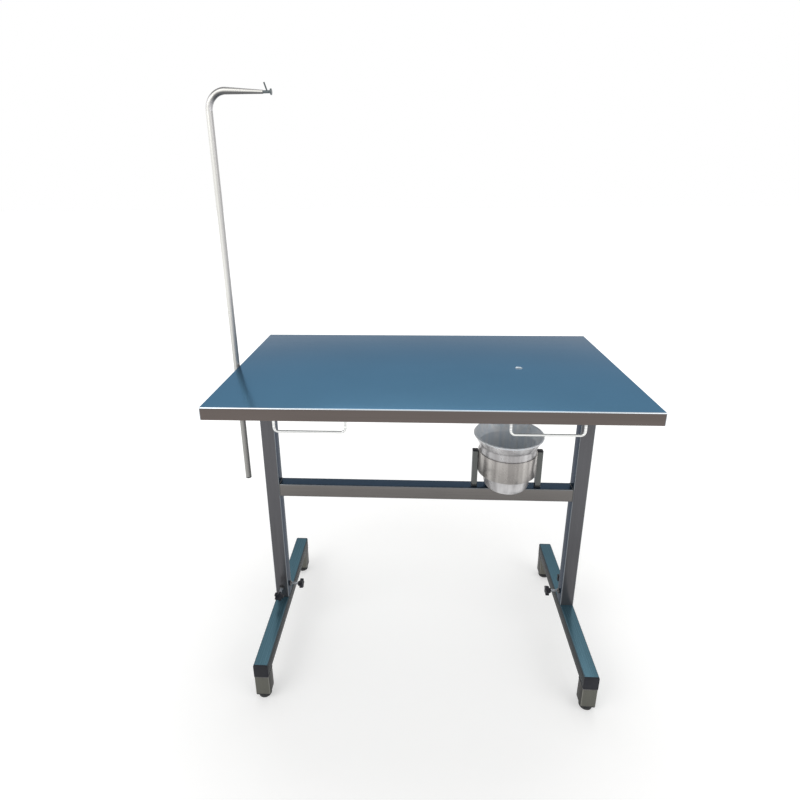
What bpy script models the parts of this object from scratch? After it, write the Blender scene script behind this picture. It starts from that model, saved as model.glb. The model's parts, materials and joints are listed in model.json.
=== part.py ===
"""Veterinary surgery table in stainless steel: folded top with a drain, two T legs that slide on posts for height,
a drip pole in a side sleeve and a bucket that stands in a hoop on the crossbar. Metres, +Z up, floor at z = 0."""

import math

import bmesh
import bpy
from mathutils import Matrix, Vector

# Gap that two touching pieces keep, and the play of a piece that slides or turns in another.
GAP = 0.0003
PLAY = 0.0005

# Folded top.
TOP_LENGTH = 1.000
TOP_DEPTH = 0.600
TOP_HEIGHT = 0.880
SKIRT_DROP = 0.030
SHEET = 0.0015
FOLD_RADIUS = 0.004
RETURN_LIP = 0.015

# Square tube of the frame, legs and feet.
TUBE = 0.040
TUBE_WALL = 0.002
TUBE_CORNER = 0.004

# Bearers and stiffeners under the top.
BEARER_HEIGHT = 0.026
BEARER_LENGTH = 0.550
STIFFENER_WIDTH = 0.030
STIFFENER_HEIGHT = 0.020
STIFFENER_SPACING = 0.260

# Legs, crossbar and feet.
LEG_INSET = 0.042
CROSSBAR_TOP = 0.520
FOOT_LENGTH = 0.550
FOOT_TOP = 0.117
POST_LENGTH = 0.300
END_CAP = 0.003
CAP_SPIGOT = 0.015

# Levelling feet.
PAD_HEIGHT = 0.010
PAD_RADIUS = 0.0175
PAD_NECK_RADIUS = 0.009
PAD_FLOOR = 0.004
STEM_RADIUS = 0.004
STEM_LENGTH = 0.046
INSERT_FLANGE = 0.003
INSERT_DEPTH = 0.018
INSERT_CLEARANCE = 0.004

# Hand screws.
SCREW_RADIUS = 0.004
SCREW_RISE = 0.036
SCREW_REACH = 0.027
NUT_ACROSS_FLATS = 0.013
NUT_THICKNESS = 0.0065
KNOB_RADIUS = 0.0155
KNOB_LOBE = 0.0022
KNOB_LOBES = 5
KNOB_HEAD = 0.010
KNOB_HUB_RADIUS = 0.0075
KNOB_HUB_LENGTH = 0.006
KNOB_EDGE = 0.0015
KNOB_SOCKET = 0.009

# Tie rails.
RAIL_ROD = 0.006
RAIL_LENGTH = 0.166
RAIL_FROM_LEG = 0.1765
RAIL_SETBACK = 0.020
RAIL_LOW = 0.8155
RAIL_BEND = 0.010

# Drip pole and its sleeve.
POLE_RADIUS = 0.008
POLE_WALL = 0.0015
POLE_FOOT = 0.534
POLE_ARM_HEIGHT = 1.542
POLE_BEND = 0.042
POLE_ARM_REACH = 0.130
POLE_TIP_RADIUS = 0.0042
POLE_PLUG_DEPTH = 0.012
BUSH_WALL = 0.0012
BUSH_LENGTH = 0.012
BUSH_FLANGE = 0.002
SLEEVE_WALL = 0.0018
SLEEVE_LENGTH = 0.100
POLE_SCREW_RISE = 0.022
SLEEVE_TOP_DROP = 0.030
SLEEVE_PLATE = 0.006
SLEEVE_PLATE_HEIGHT = 0.050
SLEEVE_PLATE_DROP = 0.010
SLEEVE_PLATE_EDGE = 0.0008
HOOK_RADIUS = 0.0034
HOOK_LENGTH = 0.020
HOOK_DISC_RADIUS = 0.007
HOOK_DISC = 0.003
HOOK_PIN_RADIUS = 0.0018
HOOK_PIN_LENGTH = 0.021
HOOK_PIN_PLACE = 0.010
HOOK_PIN_LEAN = math.radians(18)

# Bucket, hoop and uprights.
BUCKET_FROM_LEG = 0.207
BUCKET_HEIGHT = 0.164
BUCKET_WALL = 0.0010
BUCKET_CLEARANCE = 0.0012
BUCKET_BOTTOM_RADIUS = 0.047
BUCKET_FOOT_RADIUS = 0.0635
BUCKET_RIM_RADIUS = 0.096
BUCKET_FOOT_RISE = 0.022
BUCKET_SHOULDER = 0.092
BUCKET_FLARE = 0.029
BUCKET_BEAD = 0.0022
HOOP_HEIGHT = 0.063
HOOP_WALL = 0.0015
UPRIGHT = 0.016
UPRIGHT_WALL = 0.0015
UPRIGHT_CORNER = 0.002
UPRIGHT_SPACING = 0.179
UPRIGHT_HEIGHT = 0.113

# Drain.
DRAIN_BORE = 0.0095
DRAIN_WALL = 0.0015
DRAIN_FLANGE_RADIUS = 0.020
DRAIN_FLANGE = 0.002
DRAIN_LENGTH = 0.085
DRAIN_OUT = 0.010
DRAIN_FORWARD = 0.018

# Facets of round pieces.
CORNER_STEPS = 3
ROUND_SIDES = 20
TURN_STEPS = 36

# Heights and places that follow from the sizes above.
SHEET_UNDERSIDE = TOP_HEIGHT - SHEET - GAP
BEARER_BOTTOM = SHEET_UNDERSIDE - BEARER_HEIGHT
LEG_X = TOP_LENGTH / 2 - LEG_INSET - TUBE / 2
LEG_SPACING = 2 * LEG_X
RAIL_CENTRE = LEG_X - RAIL_FROM_LEG
BUCKET_X = LEG_X - BUCKET_FROM_LEG
DRAIN_X = BUCKET_X + DRAIN_OUT
DRAIN_Y = -DRAIN_FORWARD
LEG_FOOT = FOOT_TOP + GAP
LEG_LENGTH = BEARER_BOTTOM - GAP - LEG_FOOT
POST_SIZE = TUBE - 2 * TUBE_WALL - 2 * PLAY
SCREW_HEIGHT = FOOT_TOP + SCREW_RISE
BLOCK_BOTTOM = PAD_HEIGHT + INSERT_CLEARANCE + INSERT_FLANGE + GAP
BLOCK_TOP = FOOT_TOP - TUBE - GAP
BLOCK_Y = (FOOT_LENGTH - TUBE) / 2
NUT_RADIUS = NUT_ACROSS_FLATS / math.sqrt(3)
SCREW_HOLE = SCREW_RADIUS + GAP
BUSH_BORE = POLE_RADIUS + GAP
BUSH_RADIUS = BUSH_BORE + BUSH_WALL
SLEEVE_BORE = BUSH_RADIUS + GAP
SLEEVE_RADIUS = SLEEVE_BORE + SLEEVE_WALL
POLE_X = -(TOP_LENGTH / 2 + GAP + SLEEVE_RADIUS)
SLEEVE_TOP = TOP_HEIGHT - SLEEVE_TOP_DROP - BUSH_FLANGE
SLEEVE_BOTTOM = SLEEVE_TOP - SLEEVE_LENGTH
POLE_SCREW_HEIGHT = SLEEVE_BOTTOM + POLE_SCREW_RISE
HOOP_RADIUS = UPRIGHT_SPACING / 2 - UPRIGHT / 2 - GAP
HOOP_TOP = CROSSBAR_TOP + UPRIGHT_HEIGHT
BUCKET_NECK_RADIUS = HOOP_RADIUS - HOOP_WALL - BUCKET_CLEARANCE
# The origin lies under the middle of everything, so the table stands off-centre by half the pole side's overhang.
POLE_SCREW_REACH = SLEEVE_RADIUS + SCREW_REACH + KNOB_HUB_LENGTH + KNOB_HEAD
TABLE_X = (-POLE_X + POLE_SCREW_REACH - TOP_LENGTH / 2) / 2


class Finish:
    """The materials of the table, made once."""

    def __init__(self):
        self.sheet = make_material("stainless_sheet", (0.42, 0.55, 0.64), 0.34, 1.0)
        self.tube = make_material("stainless_tube", (0.50, 0.51, 0.52), 0.30, 1.0)
        self.polished = make_material("polished_steel", (0.74, 0.73, 0.71), 0.16, 1.0)
        self.zinc = make_material("zinc_plated_steel", (0.66, 0.67, 0.68), 0.32, 1.0)
        self.plastic = make_material("black_plastic", (0.030, 0.031, 0.036), 0.48, 0.0)
        self.nylon = make_material("white_nylon", (0.78, 0.77, 0.73), 0.45, 0.0)


def make_material(name, color, roughness, metallic):
    """A Principled material with one colour."""
    material = bpy.data.materials.new(name)
    material.use_nodes = True
    shader = material.node_tree.nodes["Principled BSDF"]
    shader.inputs["Base Color"].default_value = (*color, 1.0)
    shader.inputs["Roughness"].default_value = roughness
    shader.inputs["Metallic"].default_value = metallic
    return material


def clear_scene():
    """Removes every object of the startup scene."""
    for obj in list(bpy.data.objects):
        bpy.data.objects.remove(obj, do_unlink=True)


def make_collection(name):
    """A new collection in the scene."""
    collection = bpy.data.collections.new(name)
    bpy.context.scene.collection.children.link(collection)
    return collection


def make_empty(name, collection, location, parent=None):
    """An empty that carries a sub-assembly."""
    empty = bpy.data.objects.new(name, None)
    empty.empty_display_size = 0.05
    empty.location = location
    empty.parent = parent
    collection.objects.link(empty)
    return empty


def finish_mesh(mesh, smooth_angle=40):
    """Merges doubles, points the faces outwards and shades the round faces smooth."""
    bm = bmesh.new()
    bm.from_mesh(mesh)
    bmesh.ops.remove_doubles(bm, verts=bm.verts, dist=1e-6)
    bmesh.ops.recalc_face_normals(bm, faces=bm.faces)
    bm.to_mesh(mesh)
    bm.free()
    mesh.shade_smooth()
    mesh.set_sharp_from_angle(angle=math.radians(smooth_angle))
    return mesh


def baked(obj):
    """The object's evaluated shape as a new mesh, with the object removed."""
    bpy.context.view_layer.update()
    graph = bpy.context.evaluated_depsgraph_get()
    mesh = bpy.data.meshes.new_from_object(obj.evaluated_get(graph))
    bpy.data.objects.remove(obj, do_unlink=True)
    return finish_mesh(mesh)


def link_temporary(name, data):
    """An object in the scene's own collection, for a shape that is baked at once."""
    obj = bpy.data.objects.new(name, data)
    bpy.context.scene.collection.objects.link(obj)
    return obj


def rectangle_points(width, depth, corner):
    """A rectangle with round corners, anticlockwise."""
    points = []
    for quarter, (sx, sy) in enumerate(((1, 1), (-1, 1), (-1, -1), (1, -1))):
        centre = Vector((sx * (width / 2 - corner), sy * (depth / 2 - corner)))
        for step in range(CORNER_STEPS + 1):
            angle = math.pi / 2 * (quarter + step / CORNER_STEPS)
            points.append(centre + corner * Vector((math.cos(angle), math.sin(angle))))
    return points


def extruded(name, outline, length, bevel=0.0, fill="BOTH"):
    """A mesh of a flat closed outline, extruded along Z about the middle, with or without its ends."""
    curve = bpy.data.curves.new(name, "CURVE")
    curve.dimensions = "2D"
    curve.fill_mode = fill
    curve.extrude = length / 2 - bevel
    curve.bevel_depth = bevel
    curve.bevel_resolution = 0
    spline = curve.splines.new("POLY")
    spline.points.add(len(outline) - 1)
    for point, (x, y) in zip(spline.points, outline):
        point.co = (x, y, 0.0, 1.0)
    spline.use_cyclic_u = True
    return baked(link_temporary(name, curve))


def shelled(name, mesh, wall):
    """An open surface given a wall on its inner side."""
    obj = link_temporary(name, mesh)
    shell = obj.modifiers.new("wall", "SOLIDIFY")
    shell.thickness = wall
    shell.offset = -1.0
    shell.use_even_offset = True
    return baked(obj)


def square_tube(name, width, depth, length, wall, corner):
    """A hollow rectangular tube along Z, centred."""
    skin = extruded(name, rectangle_points(width, depth, corner), length, fill="NONE")
    return shelled(name, skin, wall)


def stopper(name, flange, flange_depth, spigot, spigot_depth, corner):
    """A square plug: a flange above z = 0 and a spigot below it."""
    mesh = extruded(name, rectangle_points(flange, flange, corner), flange_depth)
    mesh.transform(Matrix.Translation((0, 0, flange_depth / 2)))
    reach = spigot_depth + flange_depth / 2
    tail = extruded(name + "_spigot", rectangle_points(spigot, spigot, corner / 2), reach)
    tail.transform(Matrix.Translation((0, 0, flange_depth / 2 - reach / 2)))
    return joined(name, (mesh, tail))


def cylinder(name, radius, start, end, sides=ROUND_SIDES, end_radius=None):
    """A solid cylinder or cone along Z, from start to end."""
    bm = bmesh.new()
    place = Matrix.Translation((0, 0, (start + end) / 2))
    top_radius = radius if end_radius is None else end_radius
    bmesh.ops.create_cone(
        bm, cap_ends=True, segments=sides, radius1=radius, radius2=top_radius, depth=end - start, matrix=place
    )
    mesh = bpy.data.meshes.new(name)
    bm.to_mesh(mesh)
    bm.free()
    return finish_mesh(mesh)


def turned(name, profile, closed, steps=TURN_STEPS):
    """A profile of (radius, height) points turned about Z. A closed profile makes a ring."""
    mesh = bpy.data.meshes.new(name)
    count = len(profile)
    edges = [(i, i + 1) for i in range(count - 1)]
    if closed:
        edges.append((count - 1, 0))
    mesh.from_pydata([(radius, 0.0, height) for radius, height in profile], edges, [])
    obj = link_temporary(name, mesh)
    screw = obj.modifiers.new("turn", "SCREW")
    screw.steps = steps
    screw.render_steps = steps
    screw.use_merge_vertices = True
    screw.merge_threshold = 1e-5
    return baked(obj)


def ring(name, inner, outer, bottom, top, steps=TURN_STEPS):
    """A plain ring about Z."""
    return turned(name, ((outer, top), (outer, bottom), (inner, bottom), (inner, top)), True, steps)


def combined(name, meshes, operation):
    """The first mesh with the others joined to it or cut from it."""
    target = link_temporary(name, meshes[0])
    others = [link_temporary(name + "_other", mesh) for mesh in meshes[1:]]
    for other in others:
        boolean = target.modifiers.new("boolean", "BOOLEAN")
        boolean.operation = operation
        boolean.object = other
    result = baked(target)
    for other in others:
        bpy.data.objects.remove(other, do_unlink=True)
    return result


def joined(name, meshes):
    """Several meshes as one body."""
    return combined(name, meshes, "UNION")


def drilled(name, mesh, cutters):
    """A mesh with the cutters taken out of it."""
    return combined(name, (mesh, *cutters), "DIFFERENCE")


def bent_rod(name, points, radii, sides_step, capped=True):
    """A round rod along points, each with its own radius."""
    curve = bpy.data.curves.new(name, "CURVE")
    curve.dimensions = "3D"
    curve.bevel_depth = 1.0
    curve.bevel_resolution = sides_step
    curve.use_fill_caps = capped
    spline = curve.splines.new("POLY")
    spline.points.add(len(points) - 1)
    for point, place, radius in zip(spline.points, points, radii):
        point.co = (*place, 1.0)
        point.radius = radius
    return baked(link_temporary(name, curve))


def arc(centre, radius, start, end, steps):
    """Points on an arc in the XZ plane, angles in degrees from +X towards +Z."""
    points = []
    for step in range(steps + 1):
        angle = math.radians(start + (end - start) * step / steps)
        points.append(Vector((centre[0] + radius * math.cos(angle), 0.0, centre[1] + radius * math.sin(angle))))
    return points


ALONG_X = Matrix.Rotation(math.radians(90), 4, "Y")
ALONG_Y = Matrix.Rotation(math.radians(-90), 4, "X")


class Table:
    """Builds the table's pieces into one collection."""

    def __init__(self):
        self.finish = Finish()
        self.parts = make_collection("veterinary_surgery_table")
        self.root = make_empty("table", self.parts, (TABLE_X, 0, 0))

    def add(self, name, mesh, material, location=(0, 0, 0), rotation=None, parent=None):
        """A named piece of the table."""
        mesh.name = name
        mesh.materials.clear()
        mesh.materials.append(material)
        obj = bpy.data.objects.new(name, mesh)
        obj.parent = parent or self.root
        obj.location = location
        if rotation is not None:
            obj.rotation_euler = rotation.to_euler()
        self.parts.objects.link(obj)
        return obj

    def top(self):
        """The folded sheet: flat top, skirt and return lip, open below, with the drain hole."""
        bm = bmesh.new()
        height = SKIRT_DROP
        size = Matrix.Diagonal((TOP_LENGTH, TOP_DEPTH, height, 1.0))
        bmesh.ops.create_cube(bm, size=1.0, matrix=Matrix.Translation((0, 0, TOP_HEIGHT - height / 2)) @ size)
        floor = [face for face in bm.faces if face.normal.z < -0.5]
        folds = [edge for edge in bm.edges if not any(face in floor for face in edge.link_faces)]
        bmesh.ops.inset_region(bm, faces=floor, thickness=RETURN_LIP, use_even_offset=True)
        bmesh.ops.delete(bm, geom=floor, context="FACES")
        bmesh.ops.bevel(bm, geom=folds, offset=FOLD_RADIUS, segments=CORNER_STEPS, profile=0.5, affect="EDGES")
        mesh = bpy.data.meshes.new("top_skin")
        bm.to_mesh(mesh)
        bm.free()
        pan = shelled("top_skin", mesh, SHEET)
        hole = cylinder("drain_hole", DRAIN_BORE, TOP_HEIGHT - 2 * SHEET, TOP_HEIGHT + SHEET)
        hole.transform(Matrix.Translation((DRAIN_X, DRAIN_Y, 0)))
        self.add("tabletop", drilled("tabletop", pan, (hole,)), self.finish.sheet)

    def drain(self):
        """The spout under the drain hole: a flange against the sheet and a tail pipe."""
        outer = DRAIN_BORE + DRAIN_WALL
        profile = (
            (DRAIN_FLANGE_RADIUS, 0),
            (DRAIN_FLANGE_RADIUS, -DRAIN_FLANGE),
            (outer, -DRAIN_FLANGE),
            (outer, -DRAIN_LENGTH),
            (DRAIN_BORE, -DRAIN_LENGTH),
            (DRAIN_BORE, 0),
        )
        place = (DRAIN_X, DRAIN_Y, SHEET_UNDERSIDE)
        self.add("drain_spout", turned("drain_spout", profile, True, ROUND_SIDES), self.finish.polished, place)

    def underframe(self):
        """Bearers across the top over the legs, and stiffeners between them."""
        for side, name in ((-1, "left"), (1, "right")):
            tube = square_tube("bearer", BEARER_HEIGHT, TUBE, BEARER_LENGTH, TUBE_WALL, TUBE_CORNER)
            tube.transform(Matrix.Rotation(math.radians(90), 4, "Z"))
            place = (side * LEG_X, 0, BEARER_BOTTOM + BEARER_HEIGHT / 2)
            self.add(f"bearer_{name}", tube, self.finish.tube, place, ALONG_Y)
        length = LEG_SPACING - TUBE - 2 * GAP
        for side, name in ((-1, "front"), (1, "back")):
            tube = square_tube("stiffener", STIFFENER_HEIGHT, STIFFENER_WIDTH, length, TUBE_WALL, TUBE_CORNER)
            place = (0, side * STIFFENER_SPACING / 2, SHEET_UNDERSIDE - STIFFENER_HEIGHT / 2)
            self.add(f"stiffener_{name}", tube, self.finish.tube, place, ALONG_X)

    def legs(self):
        """The two leg tubes with the nuts welded on for their hand screws, and the crossbar between them."""
        for side, name in ((-1, "left"), (1, "right")):
            tube = square_tube("leg", TUBE, TUBE, LEG_LENGTH, TUBE_WALL, TUBE_CORNER)
            tube.transform(Matrix.Translation((0, 0, LEG_FOOT + LEG_LENGTH / 2)))
            nuts = []
            holes = []
            for turn in self.screw_turns(side):
                place = Matrix.Translation((0, 0, SCREW_HEIGHT)) @ turn @ ALONG_X
                nut = cylinder("nut", NUT_RADIUS, (TUBE - TUBE_WALL) / 2, TUBE / 2 + NUT_THICKNESS, sides=6)
                nut.transform(place)
                nuts.append(nut)
                hole = cylinder("screw_hole", SCREW_HOLE, TUBE / 2 - 2 * TUBE_WALL, TUBE)
                hole.transform(place)
                holes.append(hole)
            mesh = drilled("leg", joined("leg", (tube, *nuts)), holes)
            self.add(f"leg_{name}", mesh, self.finish.tube, (side * LEG_X, 0, 0))
        length = LEG_SPACING - TUBE - 2 * GAP
        bar = square_tube("crossbar", TUBE, TUBE, length, TUBE_WALL, TUBE_CORNER)
        self.add("crossbar", bar, self.finish.tube, (0, 0, CROSSBAR_TOP - TUBE / 2), ALONG_X)

    @staticmethod
    def screw_turns(side):
        """Rotations about Z from +X to a leg's two screw faces: its inner face, and front on the left, back on the right."""
        inner = 0 if side < 0 else 180
        return [Matrix.Rotation(math.radians(angle), 4, "Z") for angle in (inner, inner - 90)]

    def knob_mesh(self):
        """A lobed hand knob along +Z: hub first, then the head, with a socket for the screw."""
        outline = []
        count = 6 * KNOB_LOBES
        for step in range(count):
            angle = 2 * math.pi * step / count
            radius = KNOB_RADIUS - KNOB_EDGE - KNOB_LOBE + KNOB_LOBE * math.cos(KNOB_LOBES * angle)
            outline.append((radius * math.cos(angle), radius * math.sin(angle)))
        head = extruded("knob_head", outline, KNOB_HEAD, KNOB_EDGE)
        head.transform(Matrix.Translation((0, 0, KNOB_HUB_LENGTH + KNOB_HEAD / 2)))
        hub = cylinder(
            "knob_hub", KNOB_HUB_RADIUS, 0, KNOB_HUB_LENGTH + KNOB_HEAD / 2, end_radius=KNOB_HUB_RADIUS * 1.25
        )
        socket = cylinder("knob_socket", SCREW_HOLE, -KNOB_HEAD, KNOB_SOCKET)
        return drilled("knob", joined("knob", (head, hub)), (socket,))

    def screw_mesh(self, tip):
        """A screw along +Z from its tip into the knob's socket, with z = 0 on the face that carries the nut."""
        return cylinder("screw", SCREW_RADIUS, tip, SCREW_REACH + KNOB_SOCKET - GAP)

    def hand_screws(self):
        """The four leg screws, each a knob on a screw."""
        tip = GAP - (TUBE / 2 - POST_SIZE / 2)
        for side, name in ((-1, "left"), (1, "right")):
            faces = ("inner", "front" if side < 0 else "back")
            for face, turn in zip(faces, self.screw_turns(side)):
                out = turn @ ALONG_X
                seat = Vector((side * LEG_X, 0, SCREW_HEIGHT)) + out @ Vector((0, 0, TUBE / 2))
                carrier = make_empty(f"leg_screw_{name}_{face}_axis", self.parts, seat, self.root)
                carrier.rotation_euler = out.to_euler()
                label = f"leg_screw_{name}_{face}"
                self.add(label, self.screw_mesh(tip), self.finish.zinc, parent=carrier)
                knob_place = (0, 0, SCREW_REACH)
                self.add(f"leg_knob_{name}_{face}", self.knob_mesh(), self.finish.plastic, knob_place, parent=carrier)

    def foot(self, side, name):
        """One foot: the bar with its end plugs, the blocks under it, the post and the levelling feet."""
        carrier = make_empty(f"foot_{name}", self.parts, (side * LEG_X, 0, 0), self.root)
        bar_length = FOOT_LENGTH - 2 * (END_CAP + GAP)
        bar = square_tube("foot_bar", TUBE, TUBE, bar_length, TUBE_WALL, TUBE_CORNER)
        self.add(f"foot_bar_{name}", bar, self.finish.tube, (0, 0, FOOT_TOP - TUBE / 2), ALONG_Y, carrier)
        post = square_tube("post", POST_SIZE, POST_SIZE, POST_LENGTH, TUBE_WALL, TUBE_CORNER - TUBE_WALL / 2)
        place = (0, 0, FOOT_TOP + GAP + POST_LENGTH / 2)
        self.add(f"post_{name}", post, self.finish.tube, place, parent=carrier)
        spigot = TUBE - 2 * TUBE_WALL - 2 * GAP
        for end, label in ((-1, "front"), (1, "back")):
            plug = stopper("plug", TUBE, END_CAP, spigot, CAP_SPIGOT, TUBE_CORNER)
            turn = Matrix.Rotation(math.radians(-90 * end), 4, "X")
            place = (0, end * (bar_length / 2 + GAP), FOOT_TOP - TUBE / 2)
            self.add(f"foot_plug_{name}_{label}", plug, self.finish.plastic, place, turn, carrier)
        self.blocks(name, carrier, spigot)

    def blocks(self, name, carrier, spigot):
        """The short uprights under a foot bar's ends, with their inserts and levelling feet."""
        upside_down = Matrix.Rotation(math.radians(180), 4, "X")
        height = BLOCK_TOP - BLOCK_BOTTOM
        for end, label in ((-1, "front"), (1, "back")):
            block = square_tube("block", TUBE, TUBE, height, TUBE_WALL, TUBE_CORNER)
            place = (0, end * BLOCK_Y, BLOCK_BOTTOM + height / 2)
            self.add(f"foot_block_{name}_{label}", block, self.finish.tube, place, parent=carrier)
            insert = stopper("insert", TUBE, INSERT_FLANGE, spigot, INSERT_DEPTH, TUBE_CORNER)
            insert = drilled("insert", insert, (cylinder("insert_hole", SCREW_HOLE, -TUBE, TUBE),))
            place = (0, end * BLOCK_Y, BLOCK_BOTTOM - GAP)
            self.add(f"foot_insert_{name}_{label}", insert, self.finish.plastic, place, upside_down, carrier)
            axis = make_empty(f"leveller_{name}_{label}_axis", self.parts, (0, end * BLOCK_Y, 0), carrier)
            self.leveller(f"{name}_{label}", axis)

    def leveller(self, label, axis):
        """A levelling foot: a moulded pad on a steel stem."""
        profile = (
            (0, PAD_HEIGHT),
            (PAD_NECK_RADIUS, PAD_HEIGHT),
            (PAD_RADIUS - 0.001, PAD_FLOOR + 0.001),
            (PAD_RADIUS, PAD_FLOOR),
            (PAD_RADIUS, 0.001),
            (PAD_RADIUS - 0.001, 0),
            (0, 0),
        )
        socket = cylinder("pad_socket", STEM_RADIUS + GAP, PAD_FLOOR, 2 * PAD_HEIGHT)
        pad = drilled("pad", turned("pad", profile, False, ROUND_SIDES), (socket,))
        self.add(f"leveller_pad_{label}", pad, self.finish.plastic, parent=axis)
        start = PAD_FLOOR + GAP
        stem = cylinder("stem", STEM_RADIUS, start, start + STEM_LENGTH)
        self.add(f"leveller_stem_{label}", stem, self.finish.zinc, parent=axis)

    def tie_rails(self):
        """Four bent rods under the edges of the top, for tying the animal's leads."""
        half = RAIL_LENGTH / 2 - RAIL_ROD / 2
        turn_z = RAIL_LOW + RAIL_BEND
        points = [Vector((-half, 0, SHEET_UNDERSIDE))]
        points += arc((-half + RAIL_BEND, turn_z), RAIL_BEND, 180, 270, 4)
        points += arc((half - RAIL_BEND, turn_z), RAIL_BEND, 270, 360, 4)
        points.append(Vector((half, 0, SHEET_UNDERSIDE)))
        for row, row_name in ((-1, "front"), (1, "back")):
            for side, side_name in ((-1, "left"), (1, "right")):
                rod = bent_rod("rail", points, [RAIL_ROD / 2] * len(points), 2)
                place = (side * RAIL_CENTRE, row * (TOP_DEPTH / 2 - RAIL_SETBACK), 0)
                self.add(f"tie_rail_{row_name}_{side_name}", rod, self.finish.polished, place)

    def pole_sleeve(self):
        """The sleeve, with its welded nut and the plate that carries it on the leg, and the clamp screw."""
        out = Matrix.Rotation(math.radians(180), 4, "Z") @ ALONG_X
        at_screw = Matrix.Translation((0, 0, POLE_SCREW_HEIGHT)) @ out
        body = cylinder("sleeve", SLEEVE_RADIUS, SLEEVE_BOTTOM, SLEEVE_TOP)
        nut = cylinder("sleeve_nut", NUT_RADIUS, SLEEVE_RADIUS / 2, SLEEVE_RADIUS + NUT_THICKNESS, sides=6)
        nut.transform(at_screw)
        plate_length = -POLE_X - LEG_X - TUBE / 2 - GAP
        plate_outline = rectangle_points(plate_length, SLEEVE_PLATE, SLEEVE_PLATE_EDGE)
        plate = extruded("sleeve_plate", plate_outline, SLEEVE_PLATE_HEIGHT)
        plate_z = SLEEVE_TOP - SLEEVE_PLATE_DROP - SLEEVE_PLATE_HEIGHT / 2
        plate.transform(Matrix.Translation((plate_length / 2, 0, plate_z)))
        bore = cylinder("sleeve_bore", SLEEVE_BORE, SLEEVE_BOTTOM - TUBE, SLEEVE_TOP + TUBE)
        hole = cylinder("clamp_hole", SCREW_HOLE, 0, 2 * SLEEVE_RADIUS)
        hole.transform(at_screw)
        sleeve = drilled("sleeve", joined("sleeve", (body, nut, plate)), (bore, hole))
        self.add("pole_sleeve", sleeve, self.finish.tube, (POLE_X, 0, 0))
        axis = make_empty("pole_screw_axis", self.parts, (POLE_X, 0, POLE_SCREW_HEIGHT), self.root)
        axis.rotation_euler = out.to_euler()
        seat = (0, 0, SLEEVE_RADIUS)
        screw = self.screw_mesh(POLE_RADIUS + GAP - SLEEVE_RADIUS)
        self.add("pole_screw", screw, self.finish.zinc, seat, parent=axis)
        knob_place = (0, 0, SLEEVE_RADIUS + SCREW_REACH)
        self.add("pole_knob", self.knob_mesh(), self.finish.plastic, knob_place, parent=axis)

    def pole(self):
        """The drip pole on its bushes: a bent tube with a drawn-down tip, a hook and a bottom plug."""
        axis = make_empty("pole_axis", self.parts, (POLE_X, 0, 0), self.root)
        self.bushes(axis)
        bend_z = POLE_ARM_HEIGHT - POLE_BEND
        points = [Vector((0, 0, POLE_FOOT))]
        points += arc((POLE_BEND, bend_z), POLE_BEND, 180, 90, 8)
        straight = len(points)
        taper_start = Vector((POLE_BEND, 0, POLE_ARM_HEIGHT))
        tip_drop = POLE_RADIUS - POLE_TIP_RADIUS
        tip = Vector((POLE_ARM_REACH, 0, POLE_ARM_HEIGHT - tip_drop))
        points += [taper_start.lerp(tip, share) for share in (0.5, 1.0)]
        middle = (POLE_RADIUS + POLE_TIP_RADIUS) / 2
        radii = [POLE_RADIUS] * straight + [middle, POLE_TIP_RADIUS]
        tube = shelled("pole", bent_rod("pole", points, radii, 4, capped=False), POLE_WALL)
        self.add("pole", tube, self.finish.polished, parent=axis)
        bore = POLE_RADIUS - POLE_WALL - GAP
        plug = joined(
            "pole_plug",
            (
                cylinder("plug_head", POLE_RADIUS, -END_CAP, 0),
                cylinder("plug_spigot", bore * 0.97, -END_CAP / 2, POLE_PLUG_DEPTH),
            ),
        )
        self.add("pole_end_plug", plug, self.finish.plastic, (0, 0, POLE_FOOT - GAP), parent=axis)
        self.hook(axis, tip)

    def bushes(self, axis):
        """Two flanged nylon bushes, at the top and the bottom of the sleeve."""
        profile = (
            (SLEEVE_RADIUS, BUSH_FLANGE + GAP),
            (SLEEVE_RADIUS, GAP),
            (BUSH_RADIUS, GAP),
            (BUSH_RADIUS, -BUSH_LENGTH),
            (BUSH_BORE, -BUSH_LENGTH),
            (BUSH_BORE, BUSH_FLANGE + GAP),
        )
        upside_down = Matrix.Rotation(math.radians(180), 4, "X")
        for name, height, turn in (("top", SLEEVE_TOP, None), ("bottom", SLEEVE_BOTTOM, upside_down)):
            bush = turned("bush", profile, True, ROUND_SIDES)
            self.add(f"pole_bush_{name}", bush, self.finish.nylon, (0, 0, height), turn, axis)

    def hook(self, axis, tip):
        """The end of the arm: a bar with an end disc, and a pin that leans back over the notch."""
        profile = (
            (0, HOOK_LENGTH),
            (HOOK_DISC_RADIUS, HOOK_LENGTH),
            (HOOK_DISC_RADIUS, HOOK_LENGTH - HOOK_DISC),
            (HOOK_RADIUS, HOOK_LENGTH - HOOK_DISC),
            (HOOK_RADIUS, 0),
            (0, 0),
        )
        bar = turned("hook_bar", profile, False, ROUND_SIDES)
        bar.transform(ALONG_X)
        pin = cylinder("hook_pin", HOOK_PIN_RADIUS, 0, HOOK_PIN_LENGTH, 12)
        lean = Matrix.Rotation(-HOOK_PIN_LEAN, 4, "Y")
        pin.transform(Matrix.Translation((HOOK_PIN_PLACE, 0, 0)) @ lean)
        place = tip + Vector((GAP, 0, 0))
        self.add("pole_hook", joined("hook", (bar, pin)), self.finish.polished, place, parent=axis)

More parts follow.
